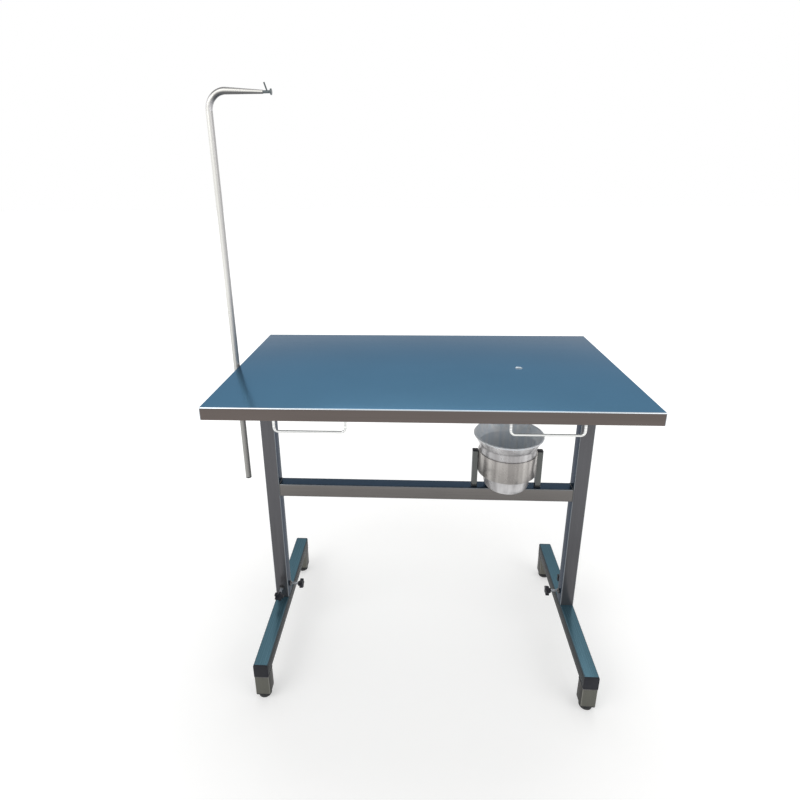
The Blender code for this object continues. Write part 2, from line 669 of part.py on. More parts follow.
    def bucket_stand(self):
        """Two capped uprights on the crossbar, and the hoop between them."""
        foot = CROSSBAR_TOP + GAP
        length = UPRIGHT_HEIGHT - END_CAP - 2 * GAP
        spigot = UPRIGHT - 2 * UPRIGHT_WALL - 2 * GAP
        for side, name in ((-1, "left"), (1, "right")):
            x = BUCKET_X + side * UPRIGHT_SPACING / 2
            tube = square_tube("upright", UPRIGHT, UPRIGHT, length, UPRIGHT_WALL, UPRIGHT_CORNER)
            self.add(f"bucket_upright_{name}", tube, self.finish.tube, (x, 0, foot + length / 2))
            cap = stopper("upright_cap", UPRIGHT, END_CAP, spigot, CAP_SPIGOT, UPRIGHT_CORNER)
            self.add(f"upright_cap_{name}", cap, self.finish.plastic, (x, 0, foot + length + GAP))
        hoop = ring("hoop", HOOP_RADIUS - HOOP_WALL, HOOP_RADIUS, HOOP_TOP - HOOP_HEIGHT, HOOP_TOP)
        self.add("bucket_hoop", hoop, self.finish.polished, (BUCKET_X, 0, 0))

    def bucket(self):
        """The pail: round-edged bottom, tapered side, funnel rim and a rolled bead."""
        neck = BUCKET_HEIGHT - BUCKET_FLARE
        funnel_radius = BUCKET_RIM_RADIUS - 2 * BUCKET_BEAD
        side = []
        for step in range(CORNER_STEPS + 1):
            angle = math.radians(90 * step / CORNER_STEPS)
            radius = BUCKET_BOTTOM_RADIUS + (BUCKET_FOOT_RADIUS - BUCKET_BOTTOM_RADIUS) * math.sin(angle)
            side.append((radius, BUCKET_FOOT_RISE * (1 - math.cos(angle))))
        side += (
            (BUCKET_NECK_RADIUS, BUCKET_SHOULDER),
            (BUCKET_NECK_RADIUS, neck),
            (BUCKET_NECK_RADIUS + (funnel_radius - BUCKET_NECK_RADIUS) * 0.3, neck + BUCKET_FLARE * 0.25),
            (funnel_radius, BUCKET_HEIGHT - 2 * BUCKET_BEAD),
        )
        outside = [(0, 0), *side]
        bead_centre = (BUCKET_RIM_RADIUS - BUCKET_BEAD, BUCKET_HEIGHT - BUCKET_BEAD)
        bead = []
        for step in range(7):
            angle = math.radians(-120 + 45 * step)
            bead.append(
                (bead_centre[0] + BUCKET_BEAD * math.cos(angle), bead_centre[1] + BUCKET_BEAD * math.sin(angle))
            )
        inside = [(radius - BUCKET_WALL, max(height, BUCKET_WALL)) for radius, height in reversed(side)]
        profile = [*outside, *bead, *inside, (0, BUCKET_WALL)]
        profile.reverse()
        place = (BUCKET_X, 0, CROSSBAR_TOP + GAP)
        self.add("bucket", turned("bucket", profile, False), self.finish.polished, place)

    def build(self):
        """Makes every piece."""
        self.top()
        self.drain()
        self.underframe()
        self.legs()
        self.hand_screws()
        for side, name in ((-1, "left"), (1, "right")):
            self.foot(side, name)
        self.tie_rails()
        self.pole_sleeve()
        self.pole()
        self.bucket_stand()
        self.bucket()


clear_scene()
Table().build()
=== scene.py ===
"""Looks of a stainless steel veterinary surgery table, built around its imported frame.

Every piece takes its place and size from the frame's nodes, in metres, and rides on the body that carries it.
"""

from __future__ import annotations

import json
import logging
import math
from collections.abc import Callable, Iterable, Sequence
from dataclasses import dataclass, replace
from enum import Enum
from typing import Any

import bpy
from mathutils import Matrix, Vector

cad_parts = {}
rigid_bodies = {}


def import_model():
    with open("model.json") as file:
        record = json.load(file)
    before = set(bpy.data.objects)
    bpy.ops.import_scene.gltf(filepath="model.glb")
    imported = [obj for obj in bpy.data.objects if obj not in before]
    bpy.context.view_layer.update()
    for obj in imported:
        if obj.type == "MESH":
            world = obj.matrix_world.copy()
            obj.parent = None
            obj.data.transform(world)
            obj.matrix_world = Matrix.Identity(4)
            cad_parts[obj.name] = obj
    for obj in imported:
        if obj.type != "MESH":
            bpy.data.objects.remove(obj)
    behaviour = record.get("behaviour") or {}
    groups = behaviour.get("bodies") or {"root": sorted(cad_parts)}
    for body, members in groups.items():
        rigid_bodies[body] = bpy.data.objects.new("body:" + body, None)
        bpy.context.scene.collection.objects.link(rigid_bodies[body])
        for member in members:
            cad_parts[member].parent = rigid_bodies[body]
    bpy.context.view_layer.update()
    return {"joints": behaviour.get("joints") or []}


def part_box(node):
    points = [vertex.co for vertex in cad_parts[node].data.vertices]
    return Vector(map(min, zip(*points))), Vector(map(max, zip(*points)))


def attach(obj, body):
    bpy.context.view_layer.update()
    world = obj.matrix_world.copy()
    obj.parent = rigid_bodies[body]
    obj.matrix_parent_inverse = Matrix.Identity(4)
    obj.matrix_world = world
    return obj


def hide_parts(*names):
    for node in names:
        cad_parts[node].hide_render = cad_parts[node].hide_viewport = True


LOG = logging.getLogger("surgery_table")
Tree = bpy.types.NodeTree
Shader = bpy.types.Node
Socket = bpy.types.NodeSocket
Joint = dict[str, Any]
Point = tuple[float, float, float]
Profile = Sequence[tuple[float, float]]
PairTest = Callable[[Vector, Vector], bool]
MM_PER_M = 1000
WHITE = "#ffffff"
# The radius of a hole that clears a screw.
SCREW_HOLE = 0.0043
# Points closer than this are one point.
SAME_PLACE = 1e-6
# An edge that runs along an axis is longer than this.
SHORTEST_EDGE = 1e-4
# A normal with more than this along an axis looks that way.
LOOKS_ALONG = 0.5
# Most values of a noise texture are in this range.
NOISE_LOW = 0.3
NOISE_HIGH = 0.7
# The colour sockets of a Mix node share their names with its other sockets, so they go by number.
MIX_FIRST = 6
MIX_SECOND = 7
MIX_RESULT = 2


class Axis(Enum):
    """A direction of the table's frame."""

    X = 0
    Y = 1
    Z = 2

    @property
    def turn(self) -> Point:
        """Euler angles that lay a ring's own Z along this direction."""
        quarter = math.pi / 2
        return {Axis.X: (0.0, quarter, 0.0), Axis.Y: (-quarter, 0.0, 0.0), Axis.Z: (0.0, 0.0, 0.0)}[self]


class End(Enum):
    """The two ends of the table, as the frame's node names spell them."""

    LEFT = "left"
    RIGHT = "right"


class Row(Enum):
    """The two long sides of the table, as the frame's node names spell them."""

    FRONT = "front"
    BACK = "back"


class Face(Enum):
    """The two ends of a box along an axis, by the way that they look."""

    LOW = -1
    HIGH = 1


class Slot(Enum):
    """The material slots of the part's record."""

    SHEET = "stainless_sheet"
    TUBE = "stainless_tube"
    POLISHED = "polished_steel"
    ZINC = "zinc_plated_steel"
    PLASTIC = "black_plastic"
    NYLON = "white_nylon"


class Crease(Enum):
    """The angle in degrees above which an edge stays sharp, by the kind of piece."""

    NUT = 30
    SHEET = 35
    TURNED = 40
    DRAWN = 50
    SOFT = 60


def linear(code: str) -> tuple[float, float, float, float]:
    """Turns an sRGB hex colour into linear light, by the standard's own curve.

    Args:
        code: six hex digits after a hash.

    Returns:
        Linear red, green, blue and an alpha of one.
    """
    values = [int(code[start : start + 2], 16) / 255 for start in (1, 3, 5)]
    red, green, blue = (v / 12.92 if v <= 0.04045 else ((v + 0.055) / 1.055) ** 2.4 for v in values)
    return red, green, blue, 1.0


def add_node(
    tree: Tree,
    kind: str,
    settings: dict[Any, Any] | None = None,
    links: dict[Any, Socket] | None = None,
    output: int | str = 0,
) -> Socket:
    """Adds a node with its settings and links.

    Args:
        tree: the node tree.
        kind: the node's type.
        settings: values by property name, or by input name or number.
        links: the sockets that feed its inputs, by input name or number.
        output: the output that is wanted, by name or number.

    Returns:
        The wanted output's socket.
    """
    node = tree.nodes.new(kind)
    for key, value in (settings or {}).items():
        if isinstance(key, str) and key.islower() and hasattr(node, key):
            setattr(node, key, value)
        else:
            node.inputs[key].default_value = value
    for key, socket in (links or {}).items():
        tree.links.new(socket, node.inputs[key])
    return node.outputs[output]


@dataclass(frozen=True)
class Falloff:
    """How a tone changes with distance from a point: on the steel a painted gradient of light and shade, on
    the floor the strength of its glow.
    """

    point: Point
    near: float
    far: float
    tone_near: float
    tone_far: float

    def socket(self, tree: Tree, place: Socket) -> Socket:
        """Builds the nodes that give the tone.

        Args:
            tree: the node tree.
            place: the socket of the Object coordinates.

        Returns:
            The socket that gives the tone at each place.
        """
        away = {"operation": "DISTANCE", 1: self.point}
        distance = add_node(tree, "ShaderNodeVectorMath", away, {0: place}, "Value")
        settings = {
            "From Min": self.near,
            "From Max": self.far,
            "To Min": self.tone_near,
            "To Max": self.tone_far,
        }
        return add_node(tree, "ShaderNodeMapRange", settings, {"Value": distance})


@dataclass(frozen=True)
class Finish:
    """A finish: a named material that is built once."""

    name: str

    def material(self) -> bpy.types.Material:
        """Builds the material, or finds it if it is there.

        Returns:
            The material.
        """
        found = bpy.data.materials.get(self.name)
        if found is None:
            found = bpy.data.materials.new(self.name)
            found.use_nodes = True
            self.paint(found.node_tree, found.node_tree.nodes["Principled BSDF"])
        return found

    def paint(self, tree: Tree, shader: Shader) -> None:
        """Builds the nodes that feed the shader."""
        raise NotImplementedError

    @staticmethod
    def drawn_noise(
        tree: Tree,
        place: Socket,
        grain: Axis,
        size_mm: tuple[float, float],
        settings: dict[str, float],
    ) -> Socket:
        """Builds a noise that is drawn out along the grain.

        Args:
            tree: the node tree.
            place: the socket of the Object coordinates.
            grain: the direction of the grain.
            size_mm: the noise's size across the grain and along it.
            settings: the noise's own settings.

        Returns:
            The noise's socket.
        """
        across, along = size_mm
        scale = [MM_PER_M / (along if axis is grain else across) for axis in Axis]
        stretched = add_node(tree, "ShaderNodeMapping", {"Scale": scale}, {"Vector": place})
        return add_node(tree, "ShaderNodeTexNoise", {"Scale": 1.0, **settings}, {"Vector": stretched})

    @staticmethod
    def two_tone(tree: Tree, noise: Socket, band: tuple[float, float], tones: tuple[str, str]) -> Socket:
        """Mixes two colours by a noise.

        Args:
            tree: the node tree.
            noise: the noise's socket.
            band: the noise's values at which the mix starts and ends.
            tones: the colours at the start and at the end.

        Returns:
            The colour's socket.
        """
        start, end = band
        first, second = (linear(tone) for tone in tones)
        span = {"From Min": start, "From Max": end}
        share = add_node(tree, "ShaderNodeMapRange", span, {"Value": noise})
        mix = {"data_type": "RGBA", MIX_FIRST: first, MIX_SECOND: second}
        return add_node(tree, "ShaderNodeMix", mix, {0: share}, MIX_RESULT)

    @staticmethod
    def coat(
        tree: Tree,
        shader: Shader,
        colour: Socket,
        dull: tuple[Socket, float, float],
        relief: tuple[Socket, float, float],
    ) -> None:
        """Feeds the shader its colour, its roughness and its relief.

        Args:
            tree: the node tree.
            shader: its Principled BSDF.
            colour: the colour's socket.
            dull: a noise, and the roughness at its low and at its high values.
            relief: a noise, and the strength and the depth of the relief that it makes.
        """
        noise, at_low, at_high = dull
        height, strength, depth = relief
        gloss = {"From Min": NOISE_LOW, "From Max": NOISE_HIGH, "To Min": at_low, "To Max": at_high}
        rough = add_node(tree, "ShaderNodeMapRange", gloss, {"Value": noise})
        bump = add_node(tree, "ShaderNodeBump", {"Strength": strength, "Distance": depth}, {"Height": height})
        for name, socket in (("Base Color", colour), ("Roughness", rough), ("Normal", bump)):
            tree.links.new(socket, shader.inputs[name])


@dataclass(frozen=True)
class SatinSteel(Finish):
    """Stainless steel ground with a fine belt: long soft lines, and a painted reflection, a tone for each way
    that a face looks, with a painted highlight on its folds.
    """

    # Painted reflections by the way a face looks: facing for the front and back, upward, downward, inward and
    # outward, and fold as a painted highlight on bends.
    facing: str
    upward: str
    inward: str
    fold: str
    grain: Axis
    outward: str = "#7c8388"
    downward: str = "#9a9c9d"
    edge: str = "#c3c3c3"
    roughness: float = 0.22
    metallic: float = 1.0
    sheen: float = 0.2
    contrast: float = 0.06
    falloff: Falloff | None = None
    line_mm: float = 1.6
    line_length_mm: float = 260.0
    cloud_mm: float = 220.0
    waver: float = 0.05
    relief: float = 0.05
    relief_depth: float = 0.0003
    middle: float = 0.03325
    face_from: float = 0.55
    face_to: float = 0.95
    fold_from: float = 0.97
    fold_to: float = 0.82

    def paint(self, tree: Tree, shader: Shader) -> None:
        """Builds the nodes that feed the shader.

        Args:
            tree: the material's node tree.
            shader: its Principled BSDF.
        """
        coords = add_node(tree, "ShaderNodeTexCoord").node.outputs
        place = coords["Object"]
        colour = self.face_colour(tree, place, coords["Normal"])
        # The belt's lines are finer than this on the real steel and are drawn as coarse as they need to show.
        size_mm = (self.line_mm, self.line_length_mm)
        lines = self.drawn_noise(tree, place, self.grain, size_mm, {"Detail": 2.0, "Roughness": 0.6})
        soft = {"Scale": MM_PER_M / self.cloud_mm, "Detail": 3.0}
        clouds = add_node(tree, "ShaderNodeTexNoise", soft, {"Vector": place})
        tones = {
            "From Min": NOISE_LOW,
            "From Max": NOISE_HIGH,
            "To Min": 1 - self.contrast,
            "To Max": 1 + self.contrast,
        }
        factors = [add_node(tree, "ShaderNodeMapRange", tones, {"Value": noise}) for noise in (lines, clouds)]
        # A painted gradient of light and shade along the piece.
        if self.falloff:
            factors.append(self.falloff.socket(tree, place))
        for factor in factors:
            scaled = {0: colour, "Scale": factor}
            colour = add_node(tree, "ShaderNodeVectorMath", {"operation": "SCALE"}, scaled)
        shader.inputs["Metallic"].default_value = self.metallic
        shader.inputs["Specular Tint"].default_value = linear(self.edge)
        shader.inputs["Specular IOR Level"].default_value = self.sheen
        dull = (lines, self.roughness + self.waver, self.roughness - self.waver)
        self.coat(tree, shader, colour, dull, (lines, self.relief, self.relief_depth))

    def face_colour(self, tree: Tree, place: Socket, normal: Socket) -> Socket:
        """Builds the painted reflection: the tone that a face takes from the part of the room that it looks
        at, and a painted highlight on the folds.

        Args:
            tree: the node tree.
            place: the socket of the Object coordinates.
            normal: the socket of the Normal coordinates.

        Returns:
            The colour's socket.
        """
        looks = add_node(tree, "ShaderNodeSeparateXYZ", links={0: normal}).node.outputs
        size = {"operation": "ABSOLUTE"}
        endwise, *others = (add_node(tree, "ShaderNodeMath", size, {0: looks[axis.name]}) for axis in Axis)
        flat = endwise
        for other in others:
            flat = add_node(tree, "ShaderNodeMath", {"operation": "MAXIMUM"}, {0: flat, 1: other})
        # End faces get one painted reflection when they look in towards the table's middle, and another when
        # they look out.
        from_middle = {"operation": "SUBTRACT", 1: (self.middle, 0.0, 0.0)}
        offset = add_node(tree, "ShaderNodeVectorMath", from_middle, {0: place})
        along = add_node(tree, "ShaderNodeVectorMath", {"operation": "MULTIPLY"}, {0: offset, 1: normal})
        away = add_node(tree, "ShaderNodeSeparateXYZ", links={0: along})
        outer = add_node(tree, "ShaderNodeMath", {"operation": "GREATER_THAN", 1: 0.0}, {0: away})
        ends = {"data_type": "RGBA", MIX_FIRST: linear(self.inward), MIX_SECOND: linear(self.outward)}
        end_colour = add_node(tree, "ShaderNodeMix", ends, {0: outer}, MIX_RESULT)
        colour: Any = linear(self.facing)
        # The folds' painted highlight comes last, because a bend catches the lamps whichever faces it joins.
        for value, start, stop, layer in (
            (looks["Z"], self.face_from, self.face_to, linear(self.upward)),
            (looks["Z"], -self.face_from, -self.face_to, linear(self.downward)),
            (endwise, self.face_from, self.face_to, end_colour),
            (flat, self.fold_from, self.fold_to, linear(self.fold)),
        ):
            band = {"From Min": start, "From Max": stop}
            links = {0: add_node(tree, "ShaderNodeMapRange", band, {"Value": value})}
            settings: dict[Any, Any] = {"data_type": "RGBA"}
            for number, part in ((MIX_FIRST, colour), (MIX_SECOND, layer)):
                (links if isinstance(part, Socket) else settings)[number] = part
            colour = add_node(tree, "ShaderNodeMix", settings, links, MIX_RESULT)
        return colour


@dataclass(frozen=True)
class PolishedSteel(Finish):
    """Bright stainless steel: buffed, with soft streaks along the way it was drawn, which on the pail and
    hoop are also painted reflection, a little clouding, and where set, a painted shade and a painted
    gradient.
    """

    colour: str
    shade: str
    grain: Axis
    roughness: float = 0.18
    metallic: float = 1.0
    streak_mm: float = 14.0
    streak_length_mm: float = 600.0
    streak_from: float = 0.38
    streak_to: float = 0.62
    cloud_mm: float = 40.0
    brighter: float = 0.05
    duller: float = 0.07
    relief: float = 0.05
    relief_depth: float = 0.0004
    falloff: Falloff | None = None
    # A painted shade: the dim colour away from the lit line, scaled by dim_tone where set.
    dim: str = ""
    dim_tone: Falloff | None = None
    lit: Point = (0.0, 0.0, 1.0)
    lit_line: float = 1.0
    dim_from: float = 0.3
    dim_to: float = 1.0

    def paint(self, tree: Tree, shader: Shader) -> None:
        """Builds the nodes that feed the shader.

        Args:
            tree: the material's node tree.
            shader: its Principled BSDF.
        """
        coords = add_node(tree, "ShaderNodeTexCoord").node.outputs
        place = coords["Object"]
        size_mm = (self.streak_mm, self.streak_length_mm)
        streaks = self.drawn_noise(tree, place, self.grain, size_mm, {"Detail": 3.0, "Roughness": 0.55})
        soft = {"Scale": MM_PER_M / self.cloud_mm, "Detail": 4.0}
        clouds = add_node(tree, "ShaderNodeTexNoise", soft, {"Vector": place})
        band = (self.streak_from, self.streak_to)
        colour = self.two_tone(tree, streaks, band, (self.colour, self.shade))
        # Painted shade away from the lit line, then a painted gradient along the piece.
        if self.dim:
            colour = self.dimmed(tree, colour, place, coords["Normal"])
        if self.falloff:
            scaled = {0: colour, "Scale": self.falloff.socket(tree, place)}
            colour = add_node(tree, "ShaderNodeVectorMath", {"operation": "SCALE"}, scaled)
        shader.inputs["Metallic"].default_value = self.metallic
        dull = (clouds, self.roughness - self.brighter, self.roughness + self.duller)
        self.coat(tree, shader, colour, dull, (streaks, self.relief, self.relief_depth))

    def dimmed(self, tree: Tree, colour: Socket, place: Socket, normal: Socket) -> Socket:
        """Darkens a round bar with painted shade away from the line along which it mirrors the sky.

        Args:
            tree: the node tree.
            colour: the socket of the bright colour.
            place: the socket of the Object coordinates.
            normal: the socket of the Normal coordinates.

        Returns:
            The colour's socket.
        """
        facing = {"operation": "DOT_PRODUCT", 1: self.lit}
        toward = add_node(tree, "ShaderNodeVectorMath", facing, {0: normal}, "Value")
        offset = add_node(tree, "ShaderNodeMath", {"operation": "SUBTRACT", 1: self.lit_line}, {0: toward})
        distance = add_node(tree, "ShaderNodeMath", {"operation": "ABSOLUTE"}, {0: offset})
        band = {"From Min": self.dim_from, "From Max": self.dim_to}
        links = {0: add_node(tree, "ShaderNodeMapRange", band, {"Value": distance}), MIX_FIRST: colour}
        if self.dim_tone:
            dark = {"operation": "SCALE", 0: linear(self.dim)[:3]}
            tone = self.dim_tone.socket(tree, place)
            links[MIX_SECOND] = add_node(tree, "ShaderNodeVectorMath", dark, {"Scale": tone})
        mix = {"data_type": "RGBA", MIX_SECOND: linear(self.dim)}
        return add_node(tree, "ShaderNodeMix", mix, links, MIX_RESULT)


@dataclass(frozen=True)
class MouldedPlastic(Finish):
    """Injection-moulded plastic: one colour through, with a fine spark-eroded grain and dull worn patches."""

    colour: str
    worn: str
    roughness: float = 0.50
    ior: float = 1.5
    sheen: float = 0.3
    grain_mm: float = 0.9
    patch_mm: float = 18.0
    worn_from: float = 0.42
    worn_to: float = 0.75
    brighter: float = 0.05
    duller: float = 0.10
    relief: float = 0.25
    relief_depth: float = 0.0002

    def paint(self, tree: Tree, shader: Shader) -> None:
        """Builds the nodes that feed the shader.

        Args:
            tree: the material's node tree.
            shader: its Principled BSDF.
        """
        place = add_node(tree, "ShaderNodeTexCoord", output="Object")
        fine = {"Scale": MM_PER_M / self.grain_mm, "Detail": 2.0}
        grain = add_node(tree, "ShaderNodeTexNoise", fine, {"Vector": place})
        soft = {"Scale": MM_PER_M / self.patch_mm, "Detail": 4.0}
        patches = add_node(tree, "ShaderNodeTexNoise", soft, {"Vector": place})
        band = (self.worn_from, self.worn_to)
        colour = self.two_tone(tree, patches, band, (self.colour, self.worn))
        shader.inputs["IOR"].default_value = self.ior
        shader.inputs["Specular IOR Level"].default_value = self.sheen
        dull = (patches, self.roughness - self.brighter, self.roughness + self.duller)
        self.coat(tree, shader, colour, dull, (grain, self.relief, self.relief_depth))


@dataclass(frozen=True)
class PaleFloor(Finish):
    """A matt floor that shows white to the eye and to the metal, and keeps a soft shadow."""

    colour: str = "#d9d9d8"
    roughness: float = 0.9
    glow: Falloff = Falloff((0.0, 0.0, 0.0), 0.5, 2.4, 0.36, 0.70)

    def paint(self, tree: Tree, shader: Shader) -> None:
        """Builds the nodes that feed the shader.

        Args:
            tree: the material's node tree.
            shader: its Principled BSDF.
        """
        path = add_node(tree, "ShaderNodeLightPath").node.outputs
        glow = self.glow.socket(tree, add_node(tree, "ShaderNodeTexCoord", output="Object"))
        rays = {0: path["Is Camera Ray"], 1: path["Is Glossy Ray"]}
        seen = add_node(tree, "ShaderNodeMath", {"operation": "MAXIMUM"}, rays)
        strength = add_node(tree, "ShaderNodeMath", {"operation": "MULTIPLY"}, {0: seen, 1: glow})
        tree.links.new(strength, shader.inputs["Emission Strength"])
        shader.inputs["Emission Color"].default_value = linear(WHITE)
        shader.inputs["Base Color"].default_value = linear(self.colour)
        shader.inputs["Roughness"].default_value = self.roughness


class Finishes:
    """The table's finishes, by the piece that wears them."""

    # Sheet ground along its length. Its tones are painted reflections: sky blue on the flat, warm on the
    # skirt, a painted highlight on the folds, and the whole painted darker towards the back.
    TOP = SatinSteel(
        "ground_stainless_sheet",
        facing="#5e5754",
        upward="#557a94",
        inward="#56616a",
        fold="#cfd6dc",
        grain=Axis.X,
        edge="#bbc4cf",
        roughness=0.18,
        contrast=0.03,
        falloff=Falloff((0.033, -5.0, 0.88), 5.0, 5.3, 1.0, 0.80),
    )
    # The drain's lip is pressed from the same sheet and wears the top's painted reflections, but its bend is
    # painted blue like the flat instead of the folds' painted highlight.
    LIP = replace(TOP, name="pressed_lip", fold="#4d6f87")
    # Tube ground along its length: a duller mirror than the sheet. Each tube's tones are painted reflections
    # by the way a face looks, with a painted highlight on its corners; the legs are painted a little darker
    # towards the floor, and the lengthwise tubes darker away from the front of the feet.
    LEG = SatinSteel(
        "ground_tube_upright",
        facing="#5d5d60",
        upward="#47616f",
        inward="#384958",
        fold="#84898e",
        grain=Axis.Z,
        edge="#8d9198",
        metallic=0.55,
        falloff=Falloff((0.033, 0.0, 0.86), 0.45, 0.95, 1.06, 0.99),
    )
    BAR = SatinSteel(
        "ground_tube_crosswise",
        facing="#6f6c6a",
        upward="#2e3f50",
        inward="#4a545d",
        fold="#85898d",
        grain=Axis.X,
        metallic=0.75,
    )
    FOOT = SatinSteel(
        "ground_tube_lengthwise",
        facing="#5e5d58",
        upward="#4c6b78",
        inward="#383f43",
        fold="#47545c",
        grain=Axis.Y,
        edge="#8c8c8c",
        roughness=0.25,
        metallic=0.55,
        falloff=Falloff((0.033, -0.90, 0.1), 0.764, 1.25, 1.05, 0.80),
    )
    BLOCK = SatinSteel(
        "ground_tube_short",
        facing="#686862",
        upward="#5a5a57",
        inward="#33322f",
        fold="#84847e",
        grain=Axis.Z,
        metallic=0.75,
    )
    UPRIGHT = SatinSteel(
        "ground_tube_small",
        facing="#5e605f",
        upward="#5a6a76",
        inward="#565c61",
        fold="#8d9092",
        grain=Axis.Z,
        metallic=0.75,
    )
    # Tube and rod buffed on a wheel, with faint streaks along the bar. The pole and its arm are painted
    # nearly white as a painted reflection of the sky, with painted shade on the side away from it and lower
    # down the pole, and under the arm and inside its bend.
    POLE = PolishedSteel(
        "buffed_tube",
        "#f9f8f2",
        "#e6e5e1",
        Axis.Z,
        roughness=0.32,
        metallic=0.5,
        streak_mm=5.0,
        falloff=Falloff((-0.48, 0.0, 1.54), 0.45, 0.80, 1.0, 0.38),
        dim="#b8b6b5",
        lit=(-1.0, 0.0, 0.0),
        lit_line=0.5,
        dim_from=0.4,
        dim_to=1.3,
    )
    ARM = PolishedSteel(
        "buffed_arm",
        "#f6f5ee",
        "#d9d8d4",
        Axis.X,
        roughness=0.32,
        metallic=0.5,
        streak_mm=5.0,
        dim="#9c9b9c",
        dim_tone=Falloff((-0.39, 0.0, 1.55), 0.075, 0.105, 0.40, 2.5),
        lit=(-0.5, -0.25, 0.83),
        lit_line=0.32,
        dim_from=0.12,
        dim_to=0.45,
    )
    RAIL = PolishedSteel("buffed_rod", "#e6e7e5", "#c2c3c3", Axis.X, streak_mm=4.0)
    # Bar turned on a lathe: duller than the buffed rod, and painted darker grey, a painted reflection of the
    # dark that it mirrors.
    HOOK = PolishedSteel("turned_hook", "#6a7274", "#4e5557", Axis.X, 0.30, 0.6, streak_mm=4.0)
    # Sheet spun over a former, with bright bands up the wall that are painted reflections. The inside and the
    # bead are painted nearly white: painted light inside the pail, and a painted highlight on the bead.
    PAIL = PolishedSteel("spun_steel", "#d9d8d9", "#aeacad", Axis.Z, 0.28, 0.45, streak_mm=24.0)
    PAIL_INSIDE = PolishedSteel("spun_steel_inside", "#fbfdff", "#eaf1f8", Axis.Z, 0.30, 0.10)
    # Strip rolled into a hoop: the pail's bands of painted reflection, a little darker and warmer.
    HOOP = PolishedSteel("rolled_band", "#c9c5c1", "#989491", Axis.Z, 0.28, 0.50, streak_mm=24.0)
    # Sheet pressed and buffed, with a clearer mirror than the pail's, and painted nearly white as a painted
    # highlight on the drain's steep walls, which the spout wears too.
    DRAIN = PolishedSteel("pressed_drain", "#f0f4f7", "#d0d8de", Axis.Z, 0.22)
    # Zinc plate is a little bluer and duller than the steel, and a brushed weld duller still.
    ZINC = PolishedSteel("bright_zinc", "#b4b7bb", "#8f9499", Axis.Z, 0.30, streak_mm=6.0)
    WELD = PolishedSteel("brushed_weld", "#6d6d6d", "#555454", Axis.Z, 0.36, streak_mm=3.0)
    # Moulded polyamide: near black on knobs and plugs, scuffed to grey on the pads, milky on the bushes.
    BLACK = MouldedPlastic("black_polyamide", "#12141c", "#1c1e27")
    PAD = MouldedPlastic("scuffed_polyamide", "#3c3d3e", "#545554", 0.60)
    NYLON = MouldedPlastic("natural_nylon", "#dedbd0", "#cbc8bb", 0.42)
    # Matt studio paper: pale and even, with no mirror image of the table.
    FLOOR = PaleFloor("pale_floor")


